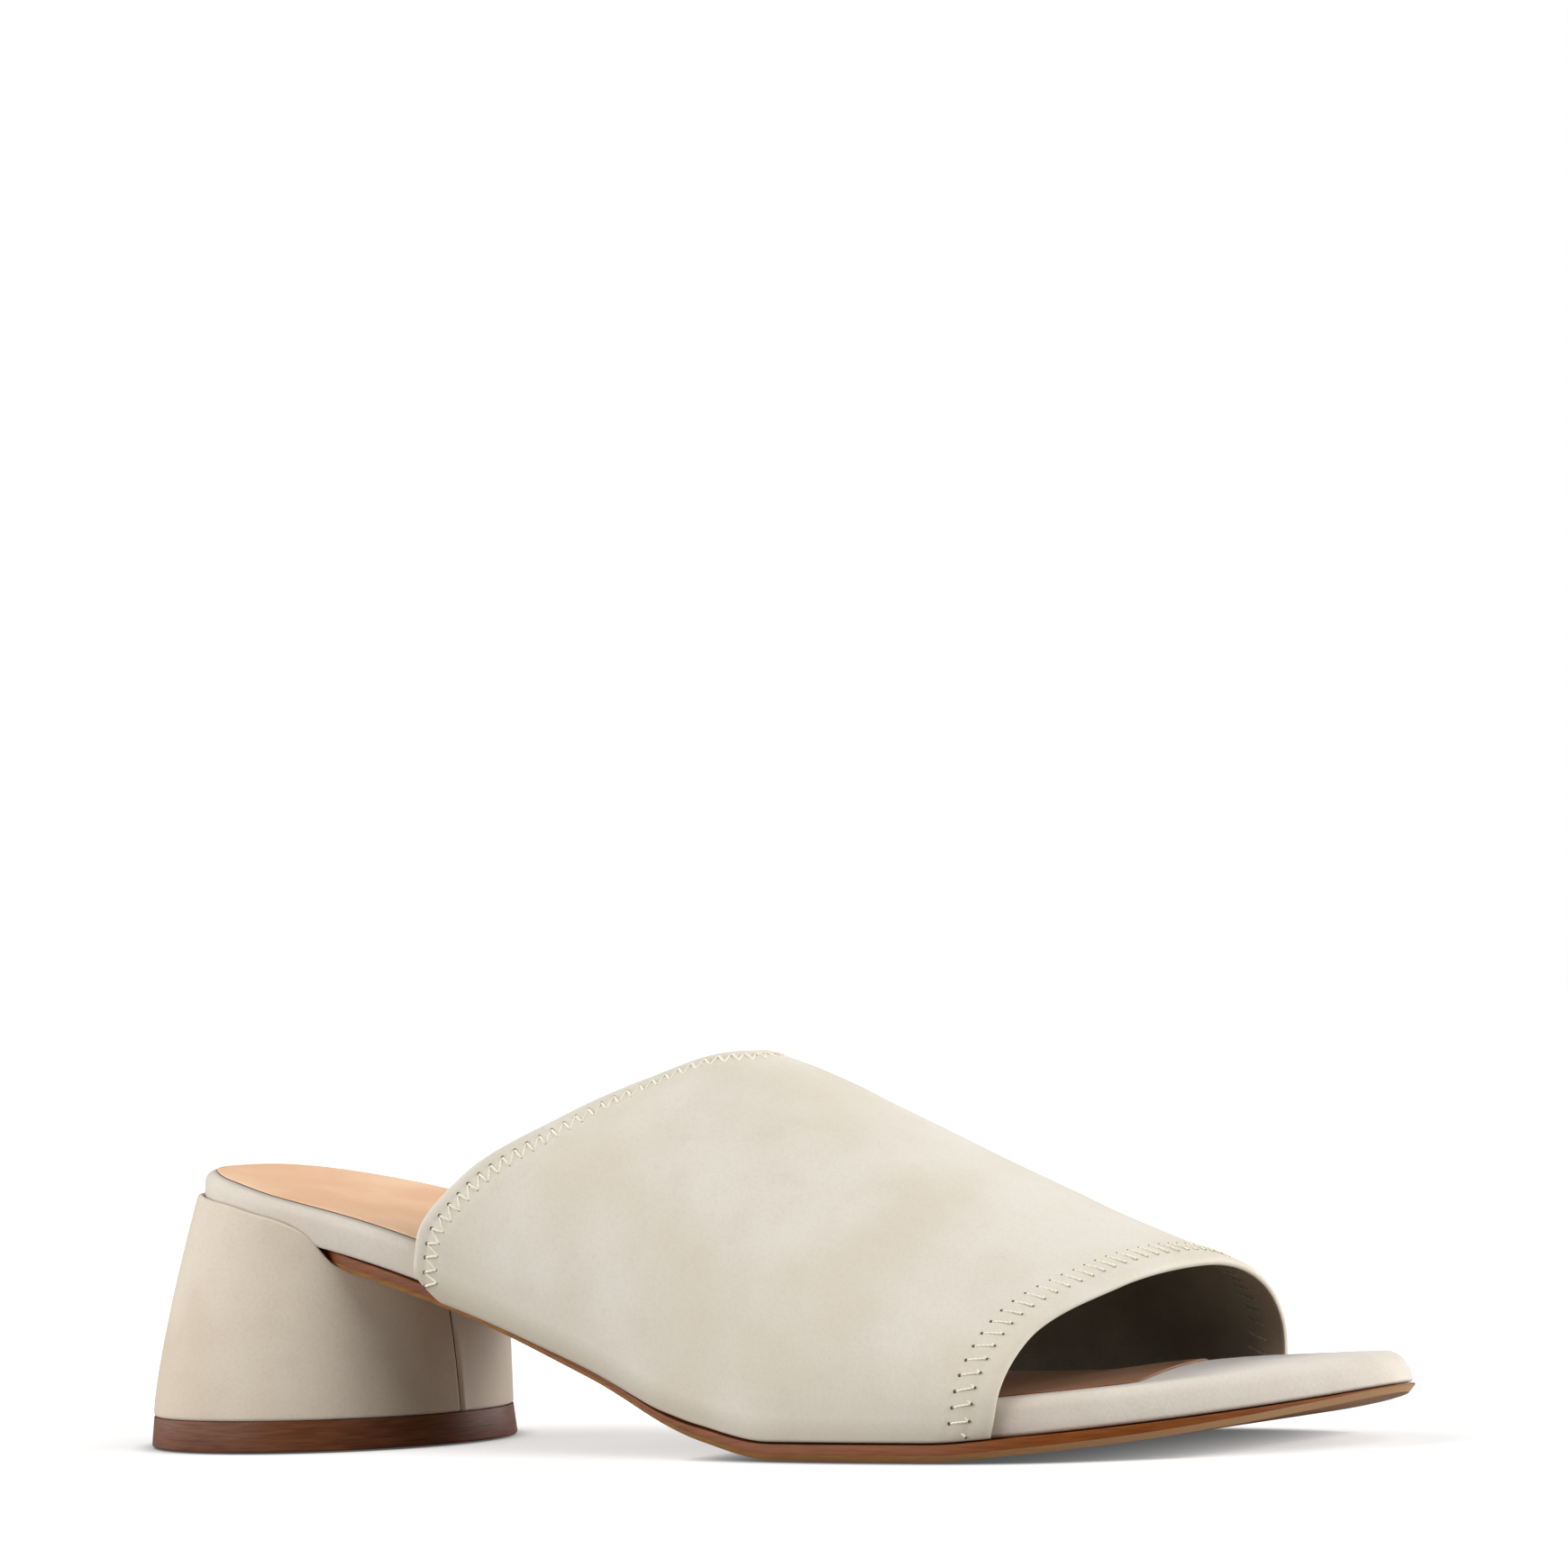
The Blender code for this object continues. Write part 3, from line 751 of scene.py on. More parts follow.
def bandPoint(along, around):
    turn = turnOf(along)
    standOff = last["gap"] + last["bandWall"]
    lateral = -(lateralWidth(turn) + standOff)
    medial = medialWidth(turn) + standOff
    feather = featherHeight(along)
    low = feather + last["gap"] - footDrop(along)
    spring = feather + footbedTop - footbed["edgeRadius"] / 2
    ridge = feather + footbedTop + bandHeight(along)
    ridgeY = (lateral + medial) / 2 + bandLean(along)
    onLateral = around <= 0.5
    share = np.where(onLateral, around, 1 - around)
    foot = np.where(onLateral, lateral, medial)
    power = 2 / np.where(onLateral, lateralFullness(along), medialFullness(along))
    wallShare = bandLook["wallShare"]
    angle = np.clip((share - wallShare) / (0.5 - wallShare), 0, 1) * math.pi / 2
    y = ridgeY + (foot - ridgeY) * np.abs(np.cos(angle)) ** power
    z = np.where(
        share < wallShare,
        low + (spring - low) * share / wallShare,
        spring + (ridge - spring) * np.sin(angle) ** power,
    )
    return np.stack([along * lastLength, y, z], axis=-1)


# a point where the foot would be, which tells the band's outside from its inside
insideBand = np.array([0.55 * lastLength, 0, 10 * mm])


def bandRows():
    # dense at the feet, where the leather turns under, then even
    wall = bandLook["wallShare"]
    foot = np.array([0.0, 0.012, 0.03, 0.055, 0.09, 0.14, 0.2, 0.3, 0.4, 0.5, 0.6, 0.7, 0.8, 0.9])
    foot = foot * wall
    over = np.linspace(wall, 1 - wall, bandLook["stepsOver"])
    return np.concatenate([foot, over, 1 - foot[::-1]])


# rows of faces from an edge inwards, finest round the nose of the fold
edgeSteps = np.concatenate([[0, 0.06, 0.18, 0.36, 0.62, 0.95, 1.35], np.arange(1.8, 12.1, 0.43)]) * mm


def bandGrid():
    rows = bandRows()
    throat, vamp = throatEdge(rows), vampEdge(rows)
    shares = np.linspace(0, 1, bandLook["coarseSteps"])
    along = throat[:, None] + (vamp - throat)[:, None] * shares
    around = np.repeat(rows[:, None], len(shares), axis=1)
    grid = []
    for row, line in zip(along, bandPoint(along, around)):
        run = runAlong(line)
        between = np.linspace(edgeSteps[-1], run[-1] - edgeSteps[-1], bandLook["stepsBetween"])
        stops = np.concatenate([edgeSteps, between[1:-1], run[-1] - edgeSteps[::-1]])
        grid.append(np.interp(stops, run, row))
    along = np.array(grid)
    around = np.repeat(rows[:, None], along.shape[1], axis=1)
    return along, around


def edgeDistances(edge, points):
    # nearest distance to a fine copy of the edge, and how far along the edge that is
    fine = np.linspace(0, 1, bandLook["edgeSamples"])
    line = bandPoint(edge(fine), fine)
    run = runAlong(line)
    tree = KDTree(len(line))
    for i, point in enumerate(line):
        tree.insert(point, i)
    tree.balance()
    found = [tree.find(point) for point in points.reshape(-1, 3)]
    distance = np.array([f[2] for f in found]).reshape(points.shape[:2])
    along = run[[f[1] for f in found]].reshape(points.shape[:2])
    return distance, along


def gridNormals(points):
    along = np.gradient(points, axis=1)
    around = np.gradient(points, axis=0)
    return turnedTowards(unit(np.cross(around, along)), points - insideBand)


def creaseHeight(points):
    height = np.zeros(points.shape[:2])
    for c in creases:
        start = bandPoint(np.array(c.startAlong), np.array(c.startAround))
        end = bandPoint(np.array(c.endAlong), np.array(c.endAround))
        line = end - start
        share = np.clip(((points - start) @ line) / (line @ line), 0, 1)
        away = np.linalg.norm(points - start - share[..., None] * line, axis=2)
        height -= c.depth * np.exp(-((away / c.width) ** 2))
    return height


def hemHeight(hem, distance, run):
    rows = np.exp(-(((distance - hem["near"]) / bandLook["grooveWidth"]) ** 2)) + np.exp(
        -(((distance - hem["far"]) / bandLook["grooveWidth"]) ** 2)
    )
    pucker = 1 + bandLook["pucker"] * np.cos(run / hem["pitch"] * 2 * math.pi)
    folded = bandLook["hemPuff"] * (
        1 - smoothStep(hem["far"], hem["far"] + bandLook["hemFade"], distance)
    )
    roll = bandLook["rollHeight"] * np.sin(math.pi * np.clip(distance / hem["near"], 0, 1))
    return folded + roll - bandLook["grooveDepth"] * rows * pucker


def noseDrop(distance, radius):
    inside = np.clip(radius - distance, 0, radius)
    return radius - np.sqrt(np.maximum(radius**2 - inside**2, 0))


along, around = bandGrid()
base = bandPoint(along, around)
for _ in range(bandLook["smoothings"]):  # takes the last trace of a crease out of the ridge line
    base[1:-1] = base[1:-1] * 0.5 + (base[:-2] + base[2:]) * 0.25
normals = gridNormals(base)
throatDistance = edgeDistances(throatEdge, base)[0]
seamDistance, seamRun = edgeDistances(throatSeam, base)
vampDistance, vampRun = edgeDistances(vampEdge, base)
nearest = np.minimum(throatDistance, vampDistance)
noseRadius = bandLook["edgeWall"] / 2
relief = (
    hemHeight(hems["throat"], seamDistance, seamRun)
    + hemHeight(hems["vamp"], vampDistance, vampRun)
    + creaseHeight(base) * smoothStep(*bandLook["creaseFade"], nearest)
)
footShare = np.minimum(around, 1 - around) / bandLook["wallShare"]
footDistance = footShare * bandLook["wallHeight"]
relief *= smoothStep(0, bandLook["footFlat"], footDistance)
outer = base + normals * (
    relief * smoothStep(0, bandLook["edgeFlat"], nearest)
    - noseDrop(nearest, noseRadius)
    - noseDrop(footDistance, bandLook["footRound"])
)[..., None]
full = smoothStep(0, bandLook["skive"], nearest)
innerDepth = bandLook["edgeWall"] + (last["bandWall"] - bandLook["edgeWall"]) * full
inner = base - normals * (innerDepth - noseDrop(nearest, noseRadius))[..., None]

rowCount, columnCount = along.shape
loop = np.concatenate([outer, inner[:, -2:0:-1]], axis=1)
loopCount = loop.shape[1]
faces, picked = [], []
for i in range(rowCount - 1):
    for j in range(loopCount):
        k = (j + 1) % loopCount
        faces.append(
            (i * loopCount + j, i * loopCount + k, (i + 1) * loopCount + k, (i + 1) * loopCount + j)
        )
        picked.append(1 if j >= columnCount + 1 and j < loopCount - 2 else 0)
for row in (0, rowCount - 1):  # closes the two feet
    start = row * loopCount
    for j in range(columnCount - 1):
        corners = [j, j + 1, (loopCount - j - 1) % loopCount, (loopCount - j) % loopCount]
        faces.append(tuple(start + c for c in dict.fromkeys(corners)))
        picked.append(0)


def loopValues(values):
    return np.concatenate([values, values[:, -2:0:-1]], axis=1).ravel()


band = addPiece(
    "upperBand",
    loop.reshape(-1, 3),
    faces,
    [stoneNubuck, lining],
    picked,
    70,
    {"vampDistance": loopValues(vampDistance), "footDistance": loopValues(footDistance)},
)
settle(band, "upper")

stitch = {
    "archHeight": 0.22 * mm,
    "sinkDepth": 0.12 * mm,
    "archSteps": 5,
    "holeRadius": 0.36 * mm,
    "holeDepth": 0.16 * mm,
    "threadSides": 6,
    "ridgeHole": 0.55,  # the size of the holes on the ridge
    "insideLift": 0.02 * mm,
}


def hemPath(surface, distances, hem):
    # points halfway between the two rows of holes, half a pitch apart, with their directions
    def row(target):
        found = []
        for i in range(rowCount):
            d = distances[i]
            if d[0] > d[-1]:
                at = np.interp(target, d[::-1], np.arange(columnCount)[::-1])
            else:
                at = np.interp(target, d, np.arange(columnCount))
            j = int(min(at, columnCount - 2))
            t = at - j
            found.append(surface[i, j] * (1 - t) + surface[i, j + 1] * t)
        return np.array(found)

    half = (hem["far"] - hem["near"]) / 2
    line, inwards = row(hem["near"] + half), row(hem["far"])
    run = runAlong(line)
    count = int((run[-1] - 2 * hem["start"]) / (hem["pitch"] / 2))
    halfPitch = (run[-1] - 2 * hem["start"]) / count
    stops = hem["start"] + (np.arange(count) + 0.5) * halfPitch
    stops[1::2] += hem["skew"] * 2 * halfPitch

    def at(values):
        return np.column_stack([np.interp(stops, run, values[:, axis]) for axis in range(3)])

    line, inwards = at(line), at(inwards)
    forward = unit(np.gradient(line, axis=0))
    outwards = unit(np.cross(inwards - line, forward))
    across = turnedTowards(np.cross(forward, outwards), inwards - line)
    return line, across * 2 * half, turnedTowards(outwards, line - insideBand)


def pathObject(name, line, across, outwards, sizes):
    mesh = bpy.data.meshes.new(name)
    mesh.from_pydata(
        [Vector(p) + lastOrigin for p in line], [(i, i + 1) for i in range(len(line) - 1)], []
    )
    for key, vectors in (("across", across), ("outwards", outwards)):
        mesh.attributes.new(key, "FLOAT_VECTOR", "POINT").data.foreach_set("vector", vectors.ravel())
    mesh.attributes.new("holeSize", "FLOAT", "POINT").data.foreach_set("value", sizes)
    return linked(name, mesh)


def startTree(name, sockets):
    tree = bpy.data.node_groups.new(name, "GeometryNodeTree")
    tree.interface.new_socket("Geometry", in_out="INPUT", socket_type="NodeSocketGeometry")
    for label, kind in sockets.items():
        tree.interface.new_socket(label, in_out="INPUT", socket_type="NodeSocket" + kind)
    tree.interface.new_socket("Geometry", in_out="OUTPUT", socket_type="NodeSocketGeometry")
    return tree, tree.nodes.new("NodeGroupInput").outputs, tree.nodes.new("NodeGroupOutput")


def endTree(tree, geometry, material, result):
    real = addNode(tree, "GeometryNodeRealizeInstances", {"Geometry": geometry})
    painted = addNode(tree, "GeometryNodeSetMaterial", {"Geometry": real, "Material": material})
    tree.links.new(painted.outputs[0], result.inputs[0])
    return tree


def zigzagOffset(tree, spread):
    # alternate points go to the near and the far row
    index = addNode(tree, "GeometryNodeInputIndex")
    odd = addNode(tree, "ShaderNodeMath", {0: index, 1: 2.0}, operation="MODULO")
    side = addNode(tree, "ShaderNodeMath", {0: odd, 1: 0.5}, operation="SUBTRACT")
    amount = addNode(tree, "ShaderNodeMath", {0: side, 1: spread}, operation="MULTIPLY")
    across = addNode(
        tree, "GeometryNodeInputNamedAttribute", {"Name": "across"}, data_type="FLOAT_VECTOR"
    )
    return addNode(
        tree,
        "ShaderNodeVectorMath",
        {0: across.outputs["Attribute"], "Scale": amount},
        operation="SCALE",
    )


def threadTree():
    tree, given, result = startTree(
        "zigzag thread",
        {
            "Spread": "Float",
            "Thread Radius": "Float",
            "Arch Height": "Float",
            "Sink Depth": "Float",
            "Quiet Leg": "Float",
            "Quiet Lift": "Float",
            "Arch Steps": "Int",
            "Thread Sides": "Int",
            "Thread Material": "Material",
        },
    )
    line = addNode(tree, "GeometryNodeMeshToCurve", {"Mesh": given["Geometry"]})
    zigzag = addNode(
        tree,
        "GeometryNodeSetPosition",
        {"Geometry": line, "Offset": zigzagOffset(tree, given["Spread"])},
    )
    numbered = addNode(
        tree,
        "GeometryNodeStoreNamedAttribute",
        {"Geometry": zigzag, "Name": "hole", "Value": addNode(tree, "GeometryNodeInputIndex")},
        data_type="FLOAT",
        domain="POINT",
    )
    finer = addNode(
        tree,
        "GeometryNodeSubdivideCurve",
        {"Curve": numbered, "Cuts": given["Arch Steps"]},
    )
    hole = addNode(
        tree, "GeometryNodeInputNamedAttribute", {"Name": "hole"}, data_type="FLOAT"
    ).outputs["Attribute"]
    part = addNode(tree, "ShaderNodeMath", {0: hole}, operation="FRACT")
    turn = addNode(tree, "ShaderNodeMath", {0: part, 1: math.pi}, operation="MULTIPLY")
    arch = addNode(tree, "ShaderNodeMath", {0: turn}, operation="SINE")
    flat = addNode(tree, "ShaderNodeMath", {0: arch, 1: 0.5}, operation="POWER")
    leg = addNode(tree, "ShaderNodeMath", {0: hole}, operation="FLOOR")
    parity = addNode(tree, "ShaderNodeMath", {0: leg, 1: 2.0}, operation="MODULO")
    apart = addNode(tree, "ShaderNodeMath", {0: parity, 1: given["Quiet Leg"]}, operation="SUBTRACT")
    proud = addNode(tree, "ShaderNodeMath", {0: apart}, operation="ABSOLUTE")
    drawn = addNode(
        tree,
        "ShaderNodeMapRange",
        {"Value": proud, "To Min": given["Quiet Lift"], "To Max": 1.0},
    )
    flat = addNode(tree, "ShaderNodeMath", {0: flat, 1: drawn}, operation="MULTIPLY")
    height = addNode(
        tree,
        "ShaderNodeMath",
        {0: flat, 1: given["Arch Height"], 2: given["Sink Depth"]},
        operation="MULTIPLY_ADD",
    )
    outwards = addNode(
        tree, "GeometryNodeInputNamedAttribute", {"Name": "outwards"}, data_type="FLOAT_VECTOR"
    )
    lift = addNode(
        tree,
        "ShaderNodeVectorMath",
        {0: outwards.outputs["Attribute"], "Scale": height},
        operation="SCALE",
    )
    raised = addNode(tree, "GeometryNodeSetPosition", {"Geometry": finer, "Offset": lift})
    profile = addNode(
        tree,
        "GeometryNodeCurvePrimitiveCircle",
        {"Resolution": given["Thread Sides"], "Radius": given["Thread Radius"]},
    )
    tube = addNode(
        tree,
        "GeometryNodeCurveToMesh",
        {"Curve": raised, "Profile Curve": profile, "Fill Caps": True},
    )
    return endTree(tree, tube, given["Thread Material"], result)


def holeTree():
    tree, given, result = startTree(
        "needle holes",
        {"Spread": "Float", "Hole Radius": "Float", "Hole Depth": "Float", "Hole Material": "Material"},
    )
    moved = addNode(
        tree,
        "GeometryNodeSetPosition",
        {"Geometry": given["Geometry"], "Offset": zigzagOffset(tree, given["Spread"])},
    )
    ball = addNode(tree, "GeometryNodeMeshUVSphere", {"Segments": 8, "Rings": 4, "Radius": 1.0})
    size = addNode(
        tree,
        "ShaderNodeCombineXYZ",
        {"X": given["Hole Radius"], "Y": given["Hole Radius"], "Z": given["Hole Depth"]},
    )
    flat = addNode(tree, "GeometryNodeTransform", {"Geometry": ball, "Scale": size})
    outwards = addNode(
        tree, "GeometryNodeInputNamedAttribute", {"Name": "outwards"}, data_type="FLOAT_VECTOR"
    )
    turned = addNode(
        tree,
        "FunctionNodeAlignRotationToVector",
        {"Vector": outwards.outputs["Attribute"]},
        axis="Z",
    )
    sizes = addNode(tree, "GeometryNodeInputNamedAttribute", {"Name": "holeSize"}, data_type="FLOAT")
    placed = addNode(
        tree,
        "GeometryNodeInstanceOnPoints",
        {"Points": moved, "Instance": flat, "Rotation": turned, "Scale": sizes.outputs["Attribute"]},
    )
    return endTree(tree, placed, given["Hole Material"], result)


def grown(name, path, tree, values):
    # runs the tree on the path and keeps the result as a plain mesh
    modifier = path.modifiers.new(name, "NODES")
    modifier.node_group = tree
    for item in tree.interface.items_tree:
        if item.in_out == "INPUT" and item.name in values:
            modifier[item.identifier] = values[item.name]
    path.update_tag()
    bpy.context.view_layer.update()
    evaluated = path.evaluated_get(bpy.context.evaluated_depsgraph_get())
    mesh = bpy.data.meshes.new_from_object(evaluated)
    path.modifiers.remove(modifier)
    for key in ("across", "outwards", "hole", "holeSize"):
        if key in mesh.attributes:
            mesh.attributes.remove(mesh.attributes[key])
    mesh.shade_smooth()
    mesh.name = name
    return linked(name, mesh)


threads, holes = threadTree(), holeTree()
innerFace = base - normals * (last["bandWall"] + stitch["insideLift"])
for name, surface, distances, hem, thread, side in (
    ("throat", outer, seamDistance, hems["throat"], creamThread, 1),
    ("vamp", outer, vampDistance, hems["vamp"], creamThread, 1),
    ("vampInside", innerFace, vampDistance, hems["vamp"], shadedBobbinThread, -1),
):
    line, across, outwards = hemPath(surface, distances, hem)
    # the thread fills its holes on the ridge, where it is pulled less
    overRidge = np.sin(np.linspace(0, math.pi, len(line)))
    sizes = 1 - (1 - stitch["ridgeHole"]) * overRidge**2
    sizes[1::2] *= hem["farHole"]
    sizes[0::2] *= hem["nearHole"]
    path = pathObject(name, line, across, outwards * side, sizes)
    made = grown(
        name + "Stitches",
        path,
        threads,
        {
            "Spread": 1.0,
            "Thread Radius": hem["threadRadius"],
            "Arch Height": stitch["archHeight"],
            "Sink Depth": -stitch["sinkDepth"],
            "Quiet Leg": hem["quietLeg"],
            "Quiet Lift": hem["quietLift"],
            "Arch Steps": stitch["archSteps"],
            "Thread Sides": stitch["threadSides"],
            "Thread Material": thread,
        },
    )
    settle(made, None)
    if side > 0:  # the inside shows the bobbin thread, but no holes
        made = grown(
            name + "Holes",
            path,
            holes,
            {
                "Spread": 1.0,
                "Hole Radius": stitch["holeRadius"],
                "Hole Depth": stitch["holeDepth"],
                "Hole Material": needleHole,
            },
        )
        settle(made, None)
    bpy.data.objects.remove(path)

heel = {
    "baseDiameter": 64.8 * mm,
    "breast": 55.0 * mm,
    "cupWall": 1.2 * mm,
    "cupLip": 2.7 * mm,
    "ridgeSharpness": 18,
    "coverRound": 0.6 * mm,
    "liftJoint": 0.05 * mm,
    "liftThickness": 5.4 * mm,
    "liftFlare": 0.5 * mm,
    "lipRound": 0.45 * mm,
    "cupSlim": 0.3 * mm,
    "fullness": 1.3,  # over 1 the wall keeps its width longer before it draws in to the cup
    "seamDepth": 0.5 * mm,
    "seamWidth": 0.45 * mm,
    "seamPuff": 0.15 * mm,
    "slantReach": 0.5,  # how far round the seam's slant draws the wall's points along
    "seamLine": 0.35,  # half the width of the dark line, in seam widths
    "paintedLightReach": 1.3,  # painted light: the cover is coloured paler just beyond the seam, as on its lit side, fading over this turn
    "levels": 60,
    "segments": 220,
    "seamSegments": 40,
    "seamReach": 3,  # the fine segments run this far each way, in seam widths
    "pocketRings": (1.0, 0.7, 0.35),
}
rimSections = table(
    "along lip sole",
    (0.000, 0.78, 0.0),
    (0.050, 1.06, 0.0),
    (0.090, 1.26, 0.0),
    (0.130, 1.28, 0.0),
    (0.155, 0.93, 0.0),
    (0.168, 0.30, 0.1),
    (0.178, 0.00, 0.6),
    (0.190, 0.00, 1.0),
)
rimLip = smoothCurve(
    [row.along for row in rimSections],
    [
        row.lip * heel["cupLip"] - row.sole * (last["outsoleThickness"] + last["gap"])
        for row in rimSections
    ],
)

heelRadius = heel["baseDiameter"] / 2
heelCentre = heel["breast"] - heelRadius
heelLow = heel["liftThickness"] + heel["liftJoint"]
heelHigh = last["heelRise"] + last["outsoleThickness"] + heel["cupLip"] + last["gap"]
# the seam's place round the heel, in degrees from straight forward, less towards the little toe
seamSections = table(
    "height angle",
    (5 * mm, -9.0),
    (15 * mm, -10.3),
    (25 * mm, -12.5),
    (38 * mm, -16.0),
)
seamCurve = columnCurve(seamSections, "height", "angle", math.radians(1))
seamAt = math.radians(seamSections[0].angle)
fineSteps = np.linspace(-heel["seamReach"], heel["seamReach"], heel["seamSegments"] + 1)
fineTurns = seamAt + fineSteps * heel["seamWidth"] / heelRadius
evenTurns = np.linspace(-math.pi, math.pi, heel["segments"], endpoint=False)
evenTurns = evenTurns[(evenTurns < fineTurns[0] - 0.01) | (evenTurns > fineTurns[-1] + 0.01)]
heelTurns = np.sort(np.concatenate([evenTurns, fineTurns]))


def cupReach(turns):
    ring = soleOutline(heel["cupWall"]) - np.array([heelCentre, 0])
    angles = np.arctan2(ring[:, 1], ring[:, 0])
    order = np.argsort(angles)
    seat = np.interp(turns, angles[order], np.linalg.norm(ring[order], axis=1), period=2 * math.pi)
    power = -heel["ridgeSharpness"]
    return (seat**power + heelRadius**power) ** (1 / power)


heelCup = cupReach(heelTurns)


def heelPoints(z, grow=0.0):
    share = np.clip((z - heelLow - heel["coverRound"]) / (heelHigh - heelLow), 0, 1)
    fullness = 1 + (heel["fullness"] - 1) * (0.5 - 0.5 * np.cos(heelTurns))  # only at the back
    share = share**fullness
    reach = heelRadius + (heelCup - heel["cupSlim"] - heelRadius) * share + grow
    slant = np.exp(-(((heelTurns - seamAt) / heel["slantReach"]) ** 2))
    turns = heelTurns + (seamCurve(z) - seamAt) * slant
    x = heelCentre + reach * np.cos(turns)
    return np.column_stack([x, reach * np.sin(turns), z])


rimHeight = np.full(len(heelTurns), heelHigh)
for _ in range(40):  # where the wall meets the cup's top edge
    x = heelPoints(rimHeight)[:, 0] / lastLength
    rimHeight = rimHeight * 0.4 + (featherHeight(x) + rimLip(x)) * 0.6
awayFromSeam = (heelTurns - seamAt) * heelRadius / heel["seamWidth"]
seamRelief = heel["seamPuff"] * np.exp(-((awayFromSeam / 3) ** 2)) - (
    heel["seamDepth"] + heel["seamPuff"]
) * np.exp(-(awayFromSeam**2))
rings = []
for above, inset in quarterRound(heel["coverRound"], 5):
    rings.append(heelPoints(np.full(len(heelTurns), heelLow + above), seamRelief - inset))
for level in range(1, heel["levels"] + 1):
    start = heelLow + heel["coverRound"]
    z = start + (rimHeight - heel["lipRound"] - start) * level / heel["levels"]
    rings.append(heelPoints(z, seamRelief))
for step in range(1, 13):  # rolls over into the cup
    angle, r = math.pi * step / 12, heel["lipRound"]
    z = rimHeight - r + r * math.sin(angle)
    rings.append(heelPoints(z, -r * (1 - math.cos(angle)) + seamRelief * math.cos(angle / 2)))
pocket = heelPoints(rimHeight - heel["lipRound"], -2 * heel["lipRound"])
middle = np.array([heelCentre, 0.0])
for share in heel["pocketRings"]:  # its floor, drawn in towards the middle
    ring = onUnderside(middle + (pocket[:, :2] - middle) * share, -last["gap"])
    ring[:, 2] = np.minimum(ring[:, 2], pocket[:, 2])
    rings.append(ring)
points, faces = ringStack(rings, acrossEnds=False)
# the faces down in the seam's groove take the dark seam material, partly painted shade
inSeam = np.abs(awayFromSeam) < heel["seamLine"]
inSeam = (inSeam & np.roll(inSeam, -1)).astype(int).tolist()
picked = inSeam * (len(rings) - 1) + [0, 0]
# painted light on the cover's side beyond the seam
paintedLight = 1 - smoothStep(0, heel["paintedLightReach"], heelTurns - seamAt)
paintedLight = np.tile(np.where(heelTurns > seamAt, paintedLight, 0), len(rings))
cover = addPiece("heelCover", points, faces, [coverNubuck, seamCutAndShade], picked, 75, {"paintedLight": paintedLight})
settle(cover, "heel")

lift = {"bottomRound": 0.35 * mm, "topRound": 0.2 * mm, "segments": 180}


def liftRing(z, grow):
    turns = np.linspace(-math.pi, math.pi, lift["segments"], endpoint=False)
    reach = heelRadius + grow
    x = heelCentre + reach * np.cos(turns)
    return np.column_stack([x, reach * np.sin(turns), np.full(len(turns), z)])


rings = [
    liftRing(above, heel["liftFlare"] - inset)
    for above, inset in quarterRound(lift["bottomRound"], 4)
]
rings += [
    liftRing(heel["liftThickness"] - below, -inset)
    for inset, below in quarterRound(lift["topRound"], 3)
]
points, faces = ringStack(rings, acrossEnds=False)
topPiece = addPiece("topPiece", points, faces, [liftBrown], sharpAngle=60)
settle(topPiece, "top_piece")

studio = {
    "floorColour": "#CBCBCA",
    "background": "#FFFFFF",
    "ambient": 0.03,
    "floorGlow": 0.53,  # painted light: a glow that only the camera sees keeps the floor white; it lights nothing
    "floorBounce": "#B0B0AF",
    "contactReach": 4.5 * mm,
    "contactDark": 0.15,
    "floorSize": 12.0,
    "floorDepth": 0.3 * mm,
}
# soft boxes: side in degrees from the camera, plus to its right, and height above the horizon
softBoxes = table(
    "name side height strength softness",
    ("leftBehind", -120, 12, 1.2, 45),
    ("left", -70, 12, 1.88, 45),
    ("leftAbove", -90, 45, 1.02, 45),
    ("rightAbove", 45, 45, 1.36, 45),
    ("right", 70, 12, 2.18, 45),
    ("rightBehind", 120, 12, 1.99, 45),
)

floorMesh = bpy.data.meshes.new("floor")
reach, below = studio["floorSize"] / 2, -studio["floorDepth"]
corners = [(-reach, -reach), (reach, -reach), (reach, reach), (-reach, reach)]
floorMesh.from_pydata([(x, y, below) for x, y in corners], [], [(0, 1, 2, 3)])
floor = linked("floor", floorMesh)
floorMaterial, tree, shader, _ = startMaterial(
    "matt white studio floor", Roughness=0.9, Specular_IOR_Level=0.1
)
# painted shadow: for the camera only, the floor is darkened close under the sole by its ambient
# occlusion
contact = addNode(tree, "ShaderNodeAmbientOcclusion", {"Distance": studio["contactReach"]})
openness = addNode(
    tree,
    "ShaderNodeMapRange",
    {"Value": contact.outputs["AO"], "To Min": studio["contactDark"], "To Max": 1.0},
)
path = addNode(tree, "ShaderNodeLightPath")
darkened = mixColours(tree, openness, fromHex("#000000"), fromHex(studio["floorColour"]))
colour = mixColours(tree, path, fromHex(studio["floorBounce"]), darkened)
tree.links.new(colour, shader.inputs["Base Color"])
strength = addNode(tree, "ShaderNodeMath", {0: openness, 1: studio["floorGlow"]}, operation="MULTIPLY")
glow = addNode(tree, "ShaderNodeEmission", {"Strength": strength})
seen = addNode(tree, "ShaderNodeMixShader", {0: path, 2: glow})
both = addNode(tree, "ShaderNodeAddShader", {0: shader, 1: seen})
tree.links.new(both.outputs[0], tree.nodes["Material Output"].inputs["Surface"])
floorMesh.materials.append(floorMaterial)

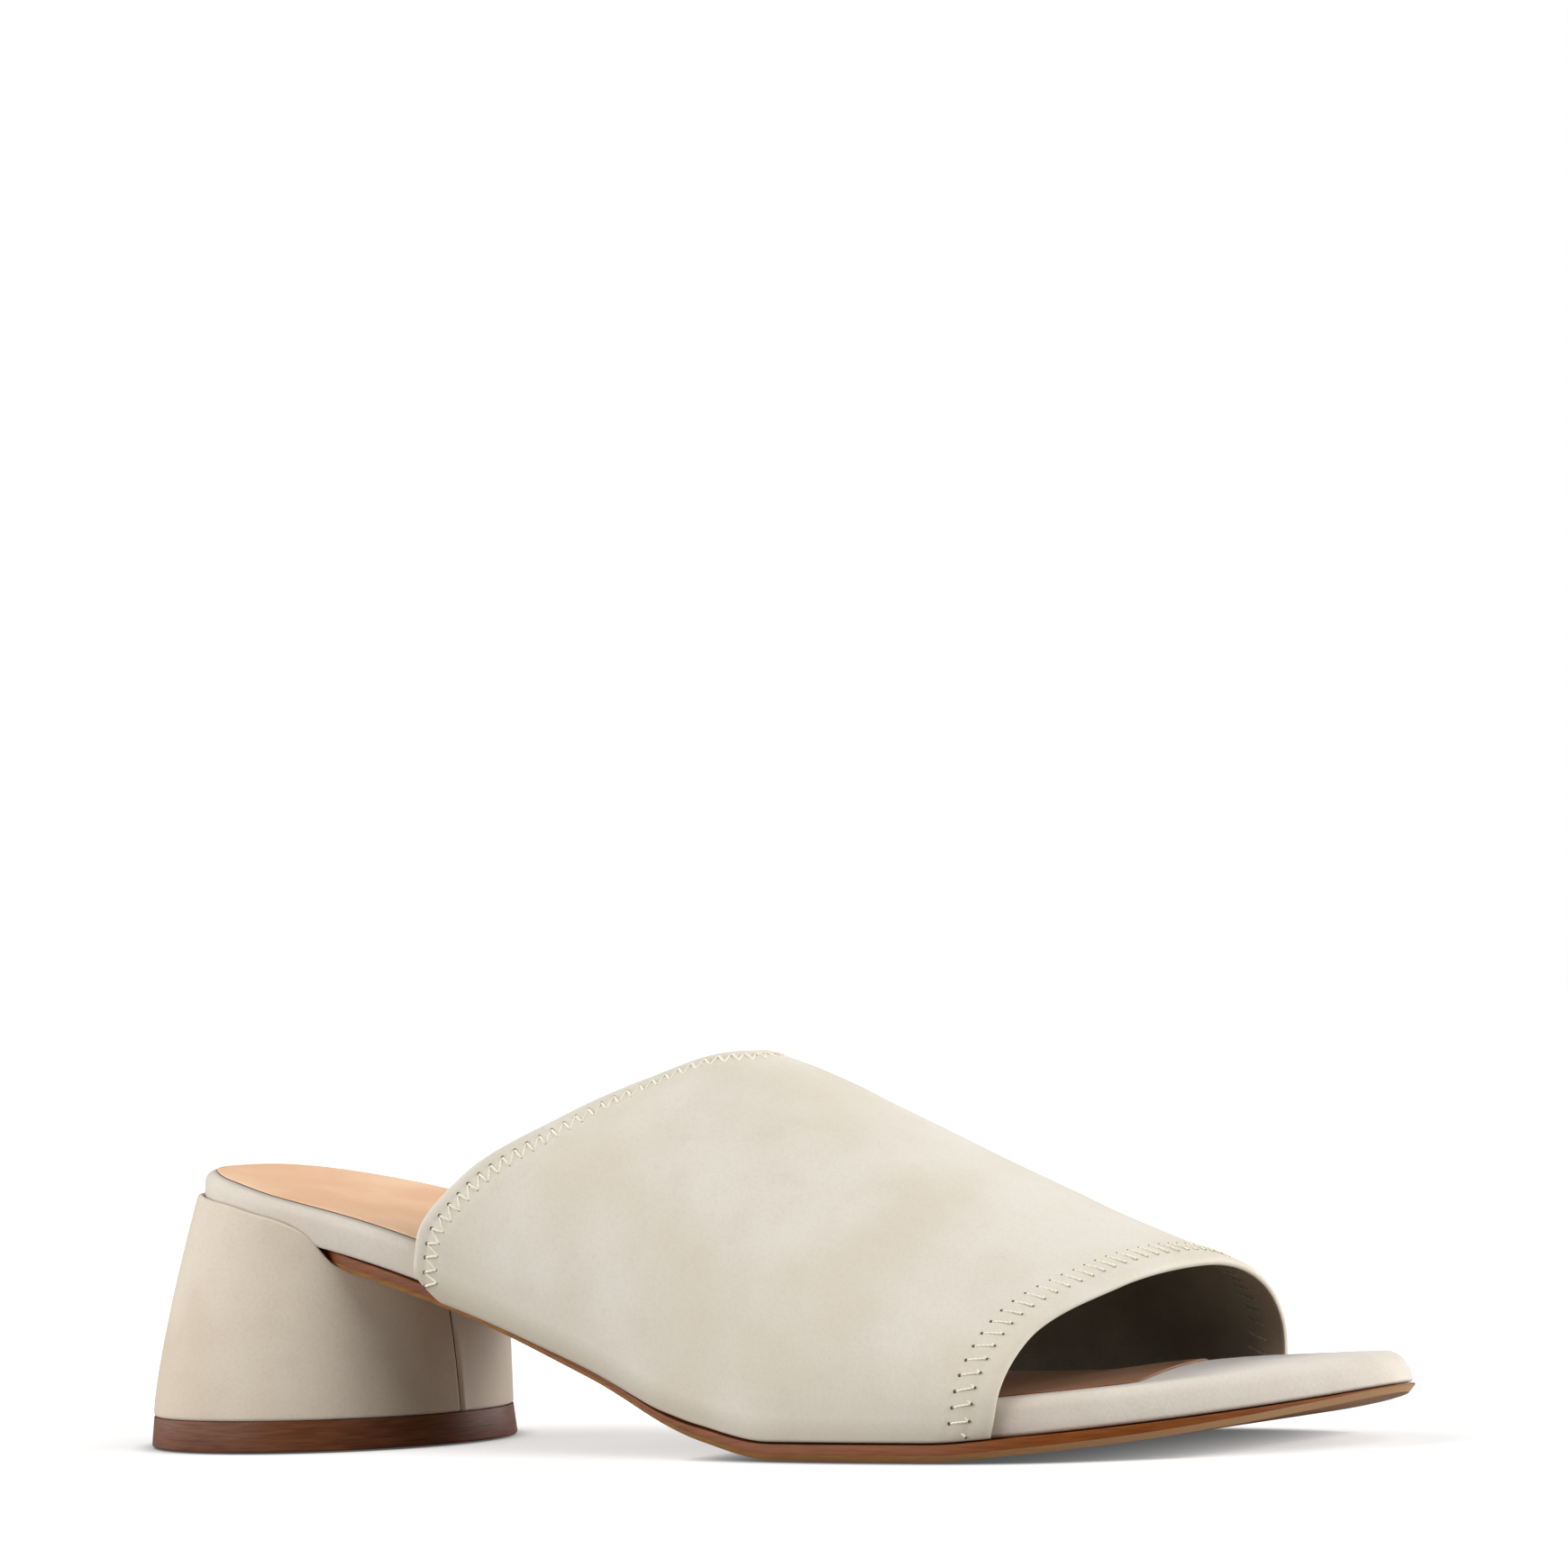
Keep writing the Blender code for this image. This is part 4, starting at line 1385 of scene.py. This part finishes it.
world = bpy.data.worlds.new("studio")
world.use_nodes = True
scene.world = world
tree = world.node_tree
tree.nodes.clear()
seen = addNode(tree, "ShaderNodeBackground", {"Color": fromHex(studio["background"])})
light = addNode(
    tree,
    "ShaderNodeBackground",
    {"Color": fromHex(studio["background"]), "Strength": studio["ambient"]},
)
path = addNode(tree, "ShaderNodeLightPath")
both = addNode(tree, "ShaderNodeMixShader", {0: path, 1: light, 2: seen})
addNode(tree, "ShaderNodeOutputWorld", {"Surface": both})

scene.view_settings.view_transform = "Standard"

# The photograph's frame is square; places in it are shares of half its width from its middle
view = {
    "azimuth": 33.0,  # from square on to the lateral side, towards the toe
    "height": 87.82 * mm,
    "distance": 1299.35 * mm,
    "facing": 120.0 * mm,  # the point of the last, from its back, that the camera faces
    "roll": 2.04,
    "aimX": 0.017414,
    "aimY": -0.194103,
    "lens": 171.783,
    "sensor": 36.0,
}
turn = math.radians(view["azimuth"])
forward = Vector((-math.sin(turn), math.cos(turn), 0))
right = Vector((math.cos(turn), math.sin(turn), 0))
up = Vector((0, 0, 1))
for box in softBoxes:
    side, height = math.radians(box.side), math.radians(box.height)
    level = right * math.sin(side) - forward * math.cos(side)
    lamp = bpy.data.lights.new(box.name, "SUN")
    lamp.energy = box.strength
    lamp.angle = math.radians(box.softness)
    source = linked(box.name, lamp)
    towards = level * math.cos(height) + up * math.sin(height)
    source.rotation_euler = towards.to_track_quat("Z", "Y").to_euler()
focal = 2 * view["lens"] / view["sensor"]
roll = math.radians(view["roll"])
shiftRight = view["aimX"] * math.cos(roll) - view["aimY"] * math.sin(roll)
shiftDown = view["aimX"] * math.sin(roll) + view["aimY"] * math.cos(roll)
look = (forward * focal + right * shiftRight - up * shiftDown).normalized()
levelRight = look.cross(up).normalized()
levelUp = levelRight.cross(look)
cameraRight = levelRight * math.cos(roll) - levelUp * math.sin(roll)
cameraUp = levelRight * math.sin(roll) + levelUp * math.cos(roll)
facing = lastOrigin + Vector((view["facing"], 0, view["height"]))
lens = bpy.data.cameras.new("camera")
lens.lens = view["lens"]
lens.sensor_width = view["sensor"]
lens.clip_end = 50
camera = linked("camera", lens)
camera.matrix_world = Matrix.Translation(facing - forward * view["distance"]) @ Matrix(
    (cameraRight, cameraUp, -look)
).transposed().to_4x4()
scene.camera = camera
print("studio set")
